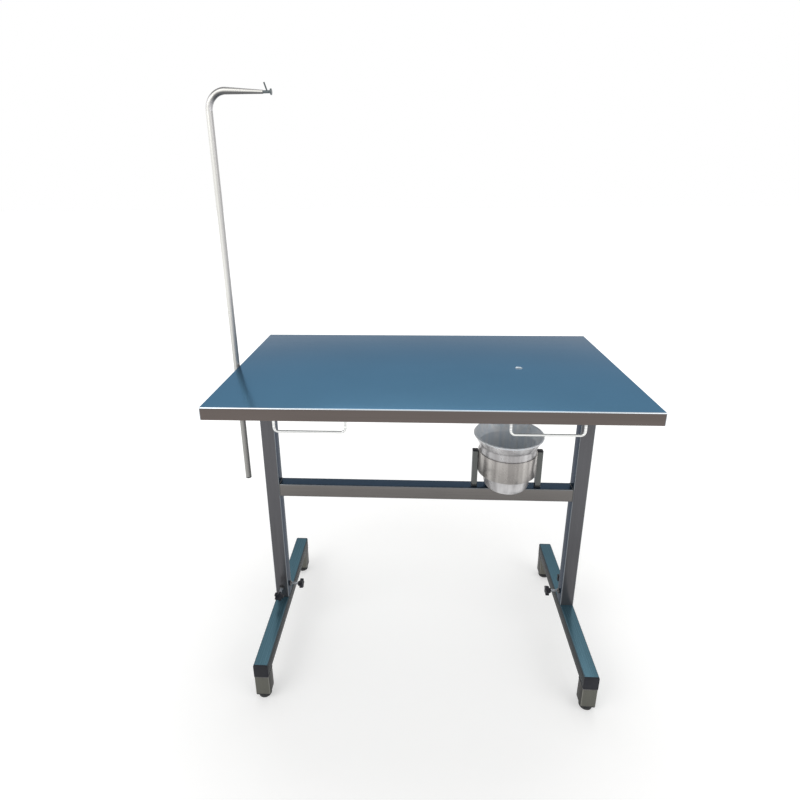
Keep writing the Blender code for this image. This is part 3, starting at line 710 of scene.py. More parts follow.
class Workpiece:
    """A mesh shaped with the modelling operators, and its way onto the table."""

    def __init__(self, obj: bpy.types.Object) -> None:
        """Takes over a mesh object."""
        self.obj = obj

    @classmethod
    def added(cls, name: str, operator: Callable[..., Any], **settings: Any) -> Workpiece:
        """Adds a primitive.

        Args:
            name: the object's name.
            operator: the primitive's operator.
            **settings: the operator's settings.

        Returns:
            The workpiece.
        """
        bpy.ops.object.select_all(action="DESELECT")
        operator(**settings)
        piece = cls(bpy.context.object)
        piece.obj.name = name
        return piece

    @classmethod
    def block(cls, name: str, low: Vector, high: Vector) -> Workpiece:
        """A block between two corners, with its size in its mesh.

        Args:
            name: the object's name.
            low: the lowest corner.
            high: the highest corner.

        Returns:
            The workpiece.
        """
        piece = cls.added(name, bpy.ops.mesh.primitive_cube_add, size=1.0, location=(low + high) / 2)
        piece.obj.scale = high - low
        return piece.placed()

    @classmethod
    def ring(
        cls,
        name: str,
        radius: float,
        middle: Sequence[float],
        axis: Axis = Axis.Z,
        sides: int = 32,
        filled: bool = True,
    ) -> Workpiece:
        """A ring of edges, or a disc.

        Args:
            name: the object's name.
            radius: the ring's radius.
            middle: the ring's middle.
            axis: the direction that the ring looks.
            sides: the number of edges.
            filled: whether a face closes it.

        Returns:
            The workpiece.
        """
        return cls.added(
            name,
            bpy.ops.mesh.primitive_circle_add,
            vertices=sides,
            radius=radius,
            fill_type="NGON" if filled else "NOTHING",
            location=middle,
            rotation=axis.turn,
        ).placed()

    @classmethod
    def turned(
        cls, name: str, profile: Profile, place: Matrix, sides: int = 48, lid: bool = True
    ) -> Workpiece:
        """A turned form, drawn ring by ring along its own Z: solid, or hollow if it ends on its first ring.

        Args:
            name: the object's name.
            profile: radius and height of each ring.
            place: where the form stands.
            sides: the number of sides.
            lid: whether a face closes the last ring of a solid form.

        Returns:
            The workpiece.
        """
        radius, height = profile[0]
        solid = profile[-1] != profile[0]
        piece = cls.ring(name, radius, (0, 0, height), sides=sides, filled=solid)
        piece.pick_ring(Axis.Z, height)
        steps = []
        for new_radius, new_height in profile[1:]:
            steps.append(((0, 0, new_height - height), new_radius / radius, (0, 0, new_height)))
            radius, height = new_radius, new_height
        piece.run(steps).moved(place)
        if solid and lid:
            piece.close()
        return piece.outward()

    @classmethod
    def bore(cls, radius: float, place: Matrix, depth: float, sides: int = 32) -> Workpiece:
        """A cutter for a round hole, which runs both ways along a place's Z."""
        settings = {"vertices": sides, "radius": radius, "depth": 2 * depth}
        return cls.added("bore", bpy.ops.mesh.primitive_cylinder_add, **settings).moved(place)

    def activate(self) -> None:
        """Makes this the only selected object, and the active one."""
        bpy.ops.object.select_all(action="DESELECT")
        self.obj.select_set(True)
        bpy.context.view_layer.objects.active = self.obj

    def placed(self) -> Workpiece:
        """Moves the object's place, turn and scale into its mesh.

        Returns:
            The workpiece.
        """
        self.activate()
        bpy.ops.object.transform_apply(location=True, rotation=True, scale=True)
        return self

    def moved(self, place: Matrix) -> Workpiece:
        """Moves the mesh."""
        self.obj.data.transform(place)
        return self

    def edit(self, *steps: tuple[Callable[..., Any], dict[str, Any]]) -> Workpiece:
        """Runs operators in edit mode.

        Args:
            *steps: operators with their settings, in order.

        Returns:
            The workpiece.
        """
        self.activate()
        bpy.ops.object.mode_set(mode="EDIT")
        for operator, settings in steps:
            operator(**settings)
        bpy.ops.object.mode_set(mode="OBJECT")
        return self

    def clear_pick(self, mode: tuple[bool, bool, bool]) -> bpy.types.Mesh:
        """Deselects the whole mesh and sets what edit mode selects: points, edges or faces.

        Args:
            mode: which of the three are selected.

        Returns:
            The mesh.
        """
        bpy.context.tool_settings.mesh_select_mode = mode
        mesh = self.obj.data
        for group in (mesh.vertices, mesh.edges, mesh.polygons):
            group.foreach_set("select", [False] * len(group))
        return mesh

    def pick_faces(self, test: PairTest) -> Workpiece:
        """Selects faces.

        Args:
            test: says from a face's middle and normal whether it is selected.

        Returns:
            The workpiece.
        """
        for face in self.clear_pick((False, False, True)).polygons:
            face.select = test(face.center, face.normal)
        return self

    def pick_edges(self, test: PairTest) -> Workpiece:
        """Selects edges.

        Args:
            test: says from an edge's two ends whether it is selected.

        Returns:
            The workpiece.
        """
        mesh = self.clear_pick((False, True, False))
        for edge in mesh.edges:
            edge.select = test(*(mesh.vertices[index].co for index in edge.vertices))
        return self

    def pick_ring(self, axis: Axis, place: float) -> Workpiece:
        """Selects the edges that lie in a plane across an axis."""
        return self.pick_edges(lambda *ends: max(abs(end[axis.value] - place) for end in ends) < SAME_PLACE)

    def pick_along(self, axis: Axis) -> Workpiece:
        """Selects the edges that run along an axis."""
        return self.pick_edges(lambda a, b: abs(a[axis.value] - b[axis.value]) > SHORTEST_EDGE)

    def run(self, steps: Iterable[tuple[Sequence[float], float, Sequence[float]]]) -> Workpiece:
        """Draws the selected ring out.

        Args:
            steps: for each new ring its shift, its growth, and the point that it grows about.

        Returns:
            The workpiece.
        """
        moves: list[tuple[Callable[..., Any], dict[str, Any]]] = []
        for shift, growth, middle in steps:
            out = {"TRANSFORM_OT_translate": {"value": tuple(shift)}}
            moves.append((bpy.ops.mesh.extrude_edges_move, out))
            if growth != 1.0:
                wider = {"value": (growth,) * 3, "center_override": tuple(middle)}
                moves.append((bpy.ops.transform.resize, wider))
        return self.edit(*moves)

    def draw(self, shift: Sequence[float]) -> Workpiece:
        """Draws the selected ring straight out."""
        return self.run(((shift, 1.0, (0.0, 0.0, 0.0)),))

    def bend(self, middle: Sequence[float], axis: Sequence[float], steps: int) -> Workpiece:
        """Sweeps the selected ring a quarter turn round an axis."""
        settings = {"steps": steps, "angle": -math.pi / 2, "center": tuple(middle), "axis": tuple(axis)}
        return self.edit((bpy.ops.mesh.spin, settings))

    def close(self) -> Workpiece:
        """Fills the selected ring with a face."""
        return self.edit((bpy.ops.mesh.edge_face_add, {}))

    def bevel(self, width: float, steps: int) -> Workpiece:
        """Rounds the selected edges."""
        return self.edit((bpy.ops.mesh.bevel, {"offset": width, "segments": steps, "affect": "EDGES"}))

    def rounded(self, width: float, steps: int, degrees: float = 30.0) -> Workpiece:
        """Rounds all edges that are sharper than an angle."""
        sharp = {"limit_method": "ANGLE", "angle_limit": math.radians(degrees)}
        return self.modify("BEVEL", width=width, segments=steps, **sharp)

    def thickened(self, wall: float) -> Workpiece:
        """Gives a shell its wall, on its inside."""
        return self.modify("SOLIDIFY", thickness=wall, offset=-1.0)

    def modify(self, kind: str, **settings: Any) -> Workpiece:
        """Adds a modifier and applies it.

        Args:
            kind: the modifier's type.
            **settings: its properties.

        Returns:
            The workpiece.
        """
        self.activate()
        modifier = self.obj.modifiers.new("shape", kind)
        for key, value in settings.items():
            setattr(modifier, key, value)
        bpy.ops.object.modifier_apply(modifier=modifier.name)
        return self

    def outward(self) -> Workpiece:
        """Merges doubles and points the faces outwards.

        Returns:
            The workpiece.
        """
        return self.edit(
            (bpy.ops.mesh.select_all, {"action": "SELECT"}),
            (bpy.ops.mesh.remove_doubles, {"threshold": SAME_PLACE}),
            (bpy.ops.mesh.normals_make_consistent, {"inside": False}),
        )

    def smooth(self, crease: Crease = Crease.SHEET) -> Workpiece:
        """Shades round faces smooth and keeps corners sharp.

        Args:
            crease: the angle above which an edge stays sharp.

        Returns:
            The workpiece.
        """
        self.activate()
        bpy.ops.object.shade_smooth_by_angle(angle=math.radians(crease.value))
        return self

    def joined(self, *others: Workpiece) -> Workpiece:
        """Takes other workpieces into this one.

        Args:
            *others: the other workpieces, which are used up.

        Returns:
            The workpiece.
        """
        self.activate()
        for other in others:
            other.obj.select_set(True)
        bpy.ops.object.join()
        return self

    def cut(self, cutter: Workpiece) -> Workpiece:
        """Cuts another workpiece out of this one.

        Args:
            cutter: the other workpiece, which is removed.

        Returns:
            The workpiece.
        """
        self.modify("BOOLEAN", operation="DIFFERENCE", object=cutter.obj)
        cutter.discard()
        return self

    def copied(self, name: str, place: Matrix) -> Workpiece:
        """A copy with a mesh of its own, put in its place.

        Args:
            name: the copy's name.
            place: the move from the first piece to the copy.

        Returns:
            The copy.
        """
        obj = self.obj.copy()
        obj.data = self.obj.data.copy()
        obj.data.transform(place)
        obj.name = name
        bpy.context.scene.collection.objects.link(obj)
        return Workpiece(obj)

    def discard(self) -> None:
        """Removes a cutter, or a pattern that has been copied."""
        bpy.data.objects.remove(self.obj, do_unlink=True)

    def repaint(self, finish: Finish, test: PairTest) -> Workpiece:
        """Gives a second finish to the faces whose middle and normal pass a test.

        Args:
            finish: the second finish.
            test: says from a face's middle and normal whether it gets that finish.

        Returns:
            The workpiece.
        """
        mesh = self.obj.data
        mesh.materials.append(finish.material())
        for face in mesh.polygons:
            if test(face.center, face.normal):
                face.material_index = len(mesh.materials) - 1
        return self

    def fit(self, body: str, slot: Slot, finish: Finish, *nodes: str) -> Workpiece:
        """Dresses the piece and puts it on its body.

        Args:
            body: the frame's body that carries it.
            slot: the record's material slot; not used.
            finish: the finish that it wears.
            *nodes: the frame's nodes that it stands for.

        Returns:
            The workpiece.
        """
        self.obj.data.materials.clear()
        self.obj.data.materials.append(finish.material())
        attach(self.obj, body)
        if nodes:
            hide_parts(*nodes)
        LOG.info("%s rides on %s", self.obj.name, body)
        return self

    def fit_all(self, suffix: str, slot: Slot, finish: Finish, bodies: dict[str, str]) -> None:
        """Fits the piece in place of the first of several like nodes, and copies in place of the others.

        Args:
            suffix: what a piece's name adds to its node's.
            slot: the record's material slot.
            finish: the finish that they wear.
            bodies: each node's body, the first one's for this piece itself.
        """
        first, *others = bodies
        self.obj.name = f"{first}_{suffix}"
        pieces = [self] + [self.copied(f"{node}_{suffix}", move(first, node)) for node in others]
        for piece, (node, body) in zip(pieces, bodies.items()):
            piece.fit(body, slot, finish, node)


def stand(joint: Joint) -> Matrix:
    """The matrix that lays +Z on a joint's axis, at its place."""
    turn = Vector((0, 0, 1)).rotation_difference(Vector(joint["axis"])).to_matrix().to_4x4()
    return Matrix.Translation(joint["pos_m"]) @ turn


def reach(node: str, joint: Joint) -> tuple[float, float]:
    """How far along a joint's axis a node starts and ends."""
    ends = [(corner - Vector(joint["pos_m"])).dot(Vector(joint["axis"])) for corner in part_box(node)]
    return min(ends), max(ends)


def move(first: str, node: str) -> Matrix:
    """The move from one node's place to that of another of the same form."""
    return Matrix.Translation(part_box(node)[0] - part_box(first)[0])


def centre(node: str) -> Vector:
    """The middle of a node's box."""
    low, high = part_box(node)
    return (low + high) / 2


def like_nodes(kind: str, bodies: dict[str, str]) -> dict[str, str]:
    """The nodes of one kind with their bodies, from each place's body."""
    return {f"{kind}_{place}": body for place, body in bodies.items()}


def half_turn() -> Matrix:
    """Half a turn about the middle of the table."""
    middle = Matrix.Translation(centre("tabletop"))
    return middle @ Matrix.Rotation(math.pi, 4, "Z") @ middle.inverted()


@dataclass(frozen=True)
class SquareTube:
    """A square tube with rounded corners and open ends."""

    corner: float = 0.004
    wall: float = 0.002
    corner_steps: int = 6

    def build(self, name: str, low: Vector, high: Vector, axis: Axis) -> Workpiece:
        """Models a length of tube.

        Args:
            name: the object's name.
            low: the tube's lowest corner.
            high: the tube's highest corner.
            axis: the direction that it runs.

        Returns:
            The workpiece.
        """
        piece = Workpiece.block(name, low, high)
        piece.pick_faces(lambda middle, normal: abs(normal[axis.value]) > LOOKS_ALONG)
        piece.edit((bpy.ops.mesh.delete, {"type": "ONLY_FACE"}))
        piece.pick_along(axis).bevel(self.corner, self.corner_steps).outward()
        return piece.thickened(self.wall).smooth()

    def lengths(self, axis: Axis, finish: Finish, bodies: dict[str, str]) -> None:
        """Models a tube in the box of the first of several like nodes, and fits it and its copies."""
        low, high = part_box(next(iter(bodies)))
        self.build("tube", low, high, axis).fit_all("tube", Slot.TUBE, finish, bodies)


@dataclass(frozen=True)
class WeldBead:
    """A brushed weld round the end of a square tube."""

    size: float = 0.0013
    corner: float = 0.004
    corner_steps: int = 4
    round_share: float = 0.45
    round_steps: int = 3

    def lay(self, name: str, body: str, low: Vector, high: Vector, axis: Axis, place: float) -> None:
        """Lays the bead and fits it.

        Args:
            name: the object's name.
            body: the body that carries it.
            low: the tube's lowest corner.
            high: the tube's highest corner.
            axis: the tube's direction.
            place: where the tube ends along that direction.
        """
        proud = Vector((self.size / 2,) * 3)
        start, end = low - proud, high + proud
        start[axis.value] = place - self.size
        end[axis.value] = place + self.size
        piece = SquareTube(self.corner, self.size, self.corner_steps).build(name, start, end, axis)
        piece.rounded(self.size * self.round_share, self.round_steps).smooth(Crease.SOFT)
        piece.fit(body, Slot.TUBE, Finishes.WELD)


@dataclass(frozen=True)
class TubePlug:
    """A moulded plug in the end of a square tube: a flange with rounded edges, and a spigot behind it."""

    flange: float = 0.003
    corner: float = 0.004
    edge: float = 0.0012
    inset: float = 0.0025
    bore: float = 0.0
    corner_steps: int = 5
    edge_steps: int = 3

    def build(self, node: str, axis: Axis, face: Face) -> Workpiece:
        """Models the plug in its node's box.

        Args:
            node: the plug's node.
            axis: the tube's direction.
            face: the end of the box at which the flange is.

        Returns:
            The workpiece.
        """
        low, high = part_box(node)
        along = axis.value
        depth = high[along] - low[along] - self.flange
        shift = [0.0, 0.0, 0.0]
        shift[along] = -face.value * depth
        back = Vector(shift)
        at_high = face is Face.HIGH
        flange_low, flange_high = (low - back, high) if at_high else (low, high - back)
        piece = Workpiece.block(node, flange_low, flange_high)
        piece.pick_along(axis).bevel(self.corner, self.corner_steps)
        piece.pick_ring(axis, (high if at_high else low)[along]).bevel(self.edge, self.edge_steps)
        piece.pick_faces(lambda middle, normal: normal[along] * face.value < -LOOKS_ALONG)
        piece.edit(
            (bpy.ops.mesh.inset, {"thickness": self.inset}),
            (bpy.ops.mesh.extrude_region_move, {"TRANSFORM_OT_translate": {"value": shift}}),
        )
        piece.outward()
        if self.bore:
            piece.cut(Workpiece.bore(self.bore, Matrix.Translation((low + high) / 2), depth))
        return piece.smooth(Crease.DRAWN)


@dataclass(frozen=True)
class ScrewThread:
    """A metric thread: a core, and a ridge that winds round it."""

    radius: float = 0.004
    pitch: float = 0.00125
    depth: float = 0.00045
    sunk: float = 0.000045
    chamfer: float = 0.00036
    sides: int = 24
    ridge_sides: int = 3
    turn_steps: int = 20

    def build(self, name: str, start: float, end: float) -> Workpiece:
        """Models a threaded rod along +Z.

        Args:
            name: the object's name.
            start: the lower end.
            end: the upper end.

        Returns:
            The workpiece.
        """
        core = self.radius - self.depth
        tip = core - self.chamfer
        profile = ((tip, start), (core, start + self.chamfer), (core, end - self.chamfer), (tip, end))
        rod = Workpiece.turned(name, profile, Matrix.Identity(4), self.sides)
        turns = int((end - start) / self.pitch) - 2
        first = (core - self.sunk, 0, start + self.pitch)
        ridge = Workpiece.ring(f"{name}_ridge", self.depth, first, Axis.Y, self.ridge_sides, False)
        winding = {"screw_offset": self.pitch, "iterations": turns}
        steps = {"steps": self.turn_steps, "render_steps": self.turn_steps}
        ridge.modify("SCREW", use_merge_vertices=False, **winding, **steps)
        ridge.edit(
            (bpy.ops.mesh.select_all, {"action": "SELECT"}),
            (bpy.ops.mesh.fill_holes, {"sides": self.ridge_sides}),
        )
        return rod.joined(ridge.outward()).smooth(Crease.TURNED)


@dataclass(frozen=True)
class HexNut:
    """A hexagon nut with chamfered edges."""

    flats: float = 0.013
    depth: float = 0.0065
    edge: float = 0.0007
    edge_steps: int = 2
    edge_degrees: float = 70.0
    sides: int = 6

    def build(self, name: str) -> Workpiece:
        """Models the nut along +Z, on the origin.

        Args:
            name: the object's name.

        Returns:
            The workpiece.
        """
        radius = self.flats / math.sqrt(3)
        profile = ((radius, 0.0), (radius, self.depth))
        piece = Workpiece.turned(name, profile, Matrix.Identity(4), self.sides)
        piece.rounded(self.edge, self.edge_steps, self.edge_degrees)
        hole = Workpiece.bore(SCREW_HOLE, Matrix.Identity(4), 2 * self.depth)
        return piece.cut(hole).smooth(Crease.NUT)


@dataclass
class FoldedTop:
    """The folded sheet of the top, with its drain and the spout under it."""

    fold: float = 0.004
    sheet: float = 0.0015
    lip: float = 0.015
    bore: float = 0.0095
    rim: float = 0.0008
    turn_down: float = 0.008
    flange: float = 0.002
    edge: float = 0.0004
    fold_steps: int = 5
    lip_steps: int = 9

    def build(self) -> None:
        """Makes the sheet, the drain's rim and the spout."""
        low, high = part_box("tabletop")
        drain = centre("drain_spout")
        drain.z = high.z
        piece = Workpiece.block("tabletop_sheet", low, high)
        piece.pick_faces(lambda middle, normal: normal.z < -LOOKS_ALONG)
        piece.edit((bpy.ops.mesh.inset, {"thickness": self.lip}), (bpy.ops.mesh.delete, {"type": "FACE"}))
        piece.pick_edges(lambda a, b: max(a.z, b.z) > high.z - SAME_PLACE)
        piece.bevel(self.fold, self.fold_steps).outward().thickened(self.sheet)
        piece.cut(Workpiece.bore(self.bore + self.rim, Matrix.Translation(drain), self.turn_down))
        piece.smooth().fit("frame", Slot.SHEET, Finishes.TOP, "tabletop")
        self.drain_lip(drain)
        self.spout(drain)

    def drain_lip(self, drain: Vector) -> None:
        """Presses the drain's rounded lip, which turns down into the bore.

        Args:
            drain: the drain's middle on the top.
        """
        inside = self.bore - self.edge
        outside = self.bore + 2 * self.rim
        back = self.bore - self.edge / 4
        profile = [(outside, 0.0)]
        for step in range(1, self.lip_steps + 1):
            angle = math.pi * step / self.lip_steps
            radius = (outside + inside + (outside - inside) * math.cos(angle)) / 2
            profile.append((radius, self.rim / 2 * math.sin(angle)))
        profile += [(inside, -self.turn_down), (back, -self.turn_down), (back, 0.0), (outside, 0.0)]
        piece = Workpiece.turned("drain_lip", profile, Matrix.Translation(drain))
        piece.smooth(Crease.SOFT).fit("frame", Slot.POLISHED, Finishes.LIP)
        # Painted highlight: the lip's steep walls are painted nearly white.
        piece.repaint(Finishes.DRAIN, lambda middle, normal: abs(normal.z) < LOOKS_ALONG)

    def spout(self, drain: Vector) -> None:
        """Draws the spout: a flange under the sheet, and a tail pipe.

        Args:
            drain: the drain's middle on the top.
        """
        low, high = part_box("drain_spout")
        flange = (high.x - low.x) / 2
        pipe = self.bore + self.sheet
        under = high.z - self.flange
        profile = (
            (self.bore, high.z),
            (flange - self.edge, high.z),
            (flange, high.z - self.edge),
            (flange, under + self.edge),
            (flange - self.edge, under),
            (pipe + self.sheet, under),
            (pipe, under - self.sheet),
            (pipe, low.z + self.edge),
            (pipe - self.edge, low.z),
            (self.bore, low.z),
            (self.bore, high.z),
        )
        place = Matrix.Translation((drain.x, drain.y, 0))
        piece = Workpiece.turned("drain_spout_pipe", profile, place).smooth(Crease.TURNED)
        piece.fit("frame", Slot.POLISHED, Finishes.DRAIN, "drain_spout")


@dataclass
class TubeFrame:
    """Legs, crossbar, and the bearers and stiffeners under the top."""

    tube: SquareTube = SquareTube()
    bead: WeldBead = WeldBead()

    def build(self, joints: dict[str, Joint]) -> None:
        """Makes the tubes and their weld beads.

        Args:
            joints: the frame's joints by name.
        """
        self.tube.lengths(Axis.Y, Finishes.FOOT, like_nodes("bearer", {end.value: "frame" for end in End}))
        self.tube.lengths(Axis.X, Finishes.BAR, like_nodes("stiffener", {row.value: "frame" for row in Row}))
        self.tube.lengths(Axis.X, Finishes.BAR, {"crossbar": "frame"})
        self.legs(joints)
        low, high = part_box("crossbar")
        for end, place in zip(End, (low.x, high.x)):
            self.bead.lay(f"weld_crossbar_{end.value}", "frame", low, high, Axis.X, place)

    def legs(self, joints: dict[str, Joint]) -> None:
        """Makes the left leg, drilled for its screws, and turns a copy half round for the right one.

        Args:
            joints: the frame's joints by name.
        """
        leg_low, leg_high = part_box("leg_left")
        bearer_low, bearer_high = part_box("bearer_left")
        bar_low, bar_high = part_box("crossbar")
        low = Vector((bearer_low.x, bar_low.y, leg_low.z))
        high = Vector((bearer_high.x, bar_high.y, leg_high.z))
        left = self.tube.build("leg_left_tube", low, high, Axis.Z)
        for face in ("inner", "front"):
            place = stand(joints[f"hand_screw_left_{face}_turn"])
            left.cut(Workpiece.bore(SCREW_HOLE, place, 3 * self.tube.wall))
        right = left.smooth().copied("leg_right_tube", half_turn())
        left.fit("frame", Slot.TUBE, Finishes.LEG, "leg_left")
        right.fit("frame", Slot.TUBE, Finishes.LEG, "leg_right")


@dataclass
class HandScrews:
    """Lobed knobs on threaded rods: four in nuts on the legs, and the pole's clamp."""

    thread: ScrewThread = ScrewThread()
    nut: HexNut = HexNut()
    lobes: int = 5
    lobe: float = 0.0022
    edge: float = 0.0018
    edge_steps: int = 4
    edge_degrees: float = 50.0
    dish: float = 0.0012
    neck_share: float = 0.48
    neck_flare: float = 1.15
    head_share: float = 0.36
    dish_shares: tuple[float, float] = (0.55, 0.44)
    lobed_share: float = 0.9
    knob_sides: int = 60
    places: tuple[str, ...] = ("left_inner", "left_front", "right_inner", "right_back")

    def build(self, joints: dict[str, Joint]) -> None:
        """Models a knob and a nut once, and fits them with a screw at each joint.

        Args:
            joints: the frame's joints by name.
        """
        first = f"leg_knob_{self.places[0]}"
        start, end = reach(first, joints[f"hand_screw_{self.places[0]}_turn"])
        low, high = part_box(first)
        grip = self.grip((high.y - low.y) / 2, end - start)
        nut = self.nut.build("nut_pattern")
        for label in self.places:
            joint = joints[f"hand_screw_{label}_turn"]
            self.screw(joint, f"hand_screw_{label}", f"leg_screw_{label}", f"leg_knob_{label}", grip)
            nut.copied(f"leg_nut_{label}", stand(joint)).fit("frame", Slot.TUBE, Finishes.WELD)
        self.screw(joints["pole_clamp_turn"], "pole_clamp", "pole_screw", "pole_knob", grip)
        for pattern in (grip, nut):
            pattern.discard()

    def screw(self, joint: Joint, body: str, rod_node: str, knob_node: str, grip: Workpiece) -> None:
        """Fits a threaded rod with a knob.

        Args:
            joint: the joint that it turns on.
            body: the body that carries it.
            rod_node: the rod's node.
            knob_node: the knob's node.
            grip: the knob's pattern.
        """
        place = stand(joint)
        rod = self.thread.build(f"{rod_node}_rod", *reach(rod_node, joint)).moved(place)
        rod.fit(body, Slot.ZINC, Finishes.ZINC, rod_node)
        start, _ = reach(knob_node, joint)
        knob = grip.copied(f"{knob_node}_grip", place @ Matrix.Translation((0, 0, start)))
        knob.fit(body, Slot.PLASTIC, Finishes.BLACK, knob_node)

    def grip(self, radius: float, length: float) -> Workpiece:
        """Models the knob along +Z: a neck, a lobed head with rounded edges, and a dished top.

        Args:
            radius: the knob's outer radius.
            length: the knob's length.

        Returns:
            The workpiece.
        """
        neck = self.neck_share * radius
        head = self.head_share * length
        brim, floor = (share * radius for share in self.dish_shares)
        profile = (
            (neck, 0.0),
            (self.neck_flare * neck, head),
            (radius, head),
            (radius, (head + length) / 2),
            (radius, length),
            (brim, length),
            (floor, length - self.dish),
        )
        piece = Workpiece.turned("knob_pattern", profile, Matrix.Identity(4), self.knob_sides)
        for vertex in piece.obj.data.vertices:
            distance = vertex.co.xy.length
            if distance > self.lobed_share * radius:
                angle = math.atan2(vertex.co.y, vertex.co.x)
                vertex.co.xy *= (radius - self.lobe + self.lobe * math.cos(self.lobes * angle)) / distance
        return piece.rounded(self.edge, self.edge_steps, self.edge_degrees).smooth(Crease.SOFT)


@dataclass
class Feet:
    """Both feet of the table: bars, posts, blocks, plugs, inserts and levelling feet."""

    tube: SquareTube = SquareTube()
    post: SquareTube = SquareTube(corner=0.003)
    plug: TubePlug = TubePlug()
    insert: TubePlug = TubePlug(edge=0.0006, bore=SCREW_HOLE)
    bead: WeldBead = WeldBead()
    thread: ScrewThread = ScrewThread()
    pad_edge: float = 0.0012
    pad_wall: float = 0.0034
    pad_round: float = 0.0006
    pad_slope: Profile = ((0.80, 0.0058), (0.62, 0.0080))
    pad_neck: tuple[float, float] = (0.58, 0.54)

    def build(self) -> None:
        """Models each piece once, at the left foot's front end, and copies it to the other places."""
        ends = {end.value: f"{end.value}_foot" for end in End}
        corners = {f"{end}_{row.value}": foot for end, foot in ends.items() for row in Row}
        self.tube.lengths(Axis.Y, Finishes.FOOT, like_nodes("foot_bar", ends))
        self.post.lengths(Axis.Z, Finishes.LEG, like_nodes("post", ends))
        self.tube.lengths(Axis.Z, Finishes.BLOCK, like_nodes("foot_block", corners))
        insert = self.insert.build("foot_insert_left_front", Axis.Z, Face.LOW)
        insert.fit_all("plug", Slot.PLASTIC, Finishes.BLACK, like_nodes("foot_insert", corners))
        self.plugs(corners)
        self.levellers({corner: f"leveller_{corner}" for corner in corners})
        for corner, body in corners.items():
            low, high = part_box(f"foot_block_{corner}")
            self.bead.lay(f"weld_block_{corner}", body, low, high, Axis.Z, high.z)

    def plugs(self, corners: dict[str, str]) -> None:
        """Makes the plugs of both bars: the back ones are the front ones turned half round the table.

        Args:
            corners: the bodies at the bars' ends.
        """
        left = self.plug.build("foot_plug_left_front", Axis.Y, Face.LOW)
        right = left.copied("foot_plug_right_front", move("foot_plug_left_front", "foot_plug_right_front"))
        pieces = {
            "left_front": left,
            "right_front": right,
            "right_back": left.copied("foot_plug_right_back", half_turn()),
            "left_back": right.copied("foot_plug_left_back", half_turn()),
        }
        for corner, piece in pieces.items():
            piece.obj.name = f"foot_plug_{corner}_cap"
            piece.fit(corners[corner], Slot.PLASTIC, Finishes.BLACK, f"foot_plug_{corner}")

    def levellers(self, corners: dict[str, str]) -> None:
        """Makes the levelling feet: moulded pads on threaded stems.

        Args:
            corners: the bodies of the levelling feet at the bars' ends.
        """
        low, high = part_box("leveller_pad_left_front")
        radius = (high.x - low.x) / 2
        height = high.z - low.z
        foot = self.pad_edge / 3
        neck, collar = self.pad_neck
        profile = (
            (radius - self.pad_edge, 0.0),
            (radius - foot, foot),
            (radius, self.pad_edge),
            (radius, self.pad_wall),
            (radius - self.pad_round, self.pad_wall + 2 * foot),
            *((radius * share, rise) for share, rise in self.pad_slope),
            (radius * neck, height - self.pad_round),
            (radius * collar, height),
            (self.thread.radius + self.pad_round, height),
        )
        middle = centre("leveller_pad_left_front")
        pad = Workpiece.turned("pad", profile, Matrix.Translation((middle.x, middle.y, low.z)))
        pad.smooth(Crease.TURNED)
        pad.fit_all("moulding", Slot.PLASTIC, Finishes.PAD, like_nodes("leveller_pad", corners))
        stem_low, stem_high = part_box("leveller_stem_left_front")
        stem = self.thread.build("stem", stem_low.z, stem_high.z)
        stem.moved(Matrix.Translation((middle.x, middle.y, 0)))
        stem.fit_all("rod", Slot.ZINC, Finishes.ZINC, like_nodes("leveller_stem", corners))


@dataclass
class RopeRails:
    """Bent rods under the long edges of the top."""

    bend: float = 0.010
    sides: int = 20
    bend_steps: int = 8

    def build(self) -> None:
        """Bends a rod down, along and up again, and copies it to the other places."""
        low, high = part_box("tie_rail_front_left")
        rod = (high.y - low.y) / 2
        middle = (low.y + high.y) / 2
        drop = high.z - low.z - rod - self.bend
        length = high.x - low.x - 2 * rod - 2 * self.bend
        turn_z = low.z + rod + self.bend
        piece = Workpiece.ring("rail", rod, (low.x + rod, middle, high.z), sides=self.sides)
        piece.pick_ring(Axis.Z, high.z).draw((0, 0, -drop))
        piece.bend((low.x + rod + self.bend, middle, turn_z), (0, -1, 0), self.bend_steps)
        piece.draw((length, 0, 0))
        piece.bend((high.x - rod - self.bend, middle, turn_z), (0, -1, 0), self.bend_steps)
        piece.draw((0, 0, drop)).close().outward().smooth(Crease.DRAWN)
        places = {f"tie_rail_{row.value}_{end.value}": "frame" for row in Row for end in End}
        piece.fit_all("rod", Slot.POLISHED, Finishes.RAIL, places)


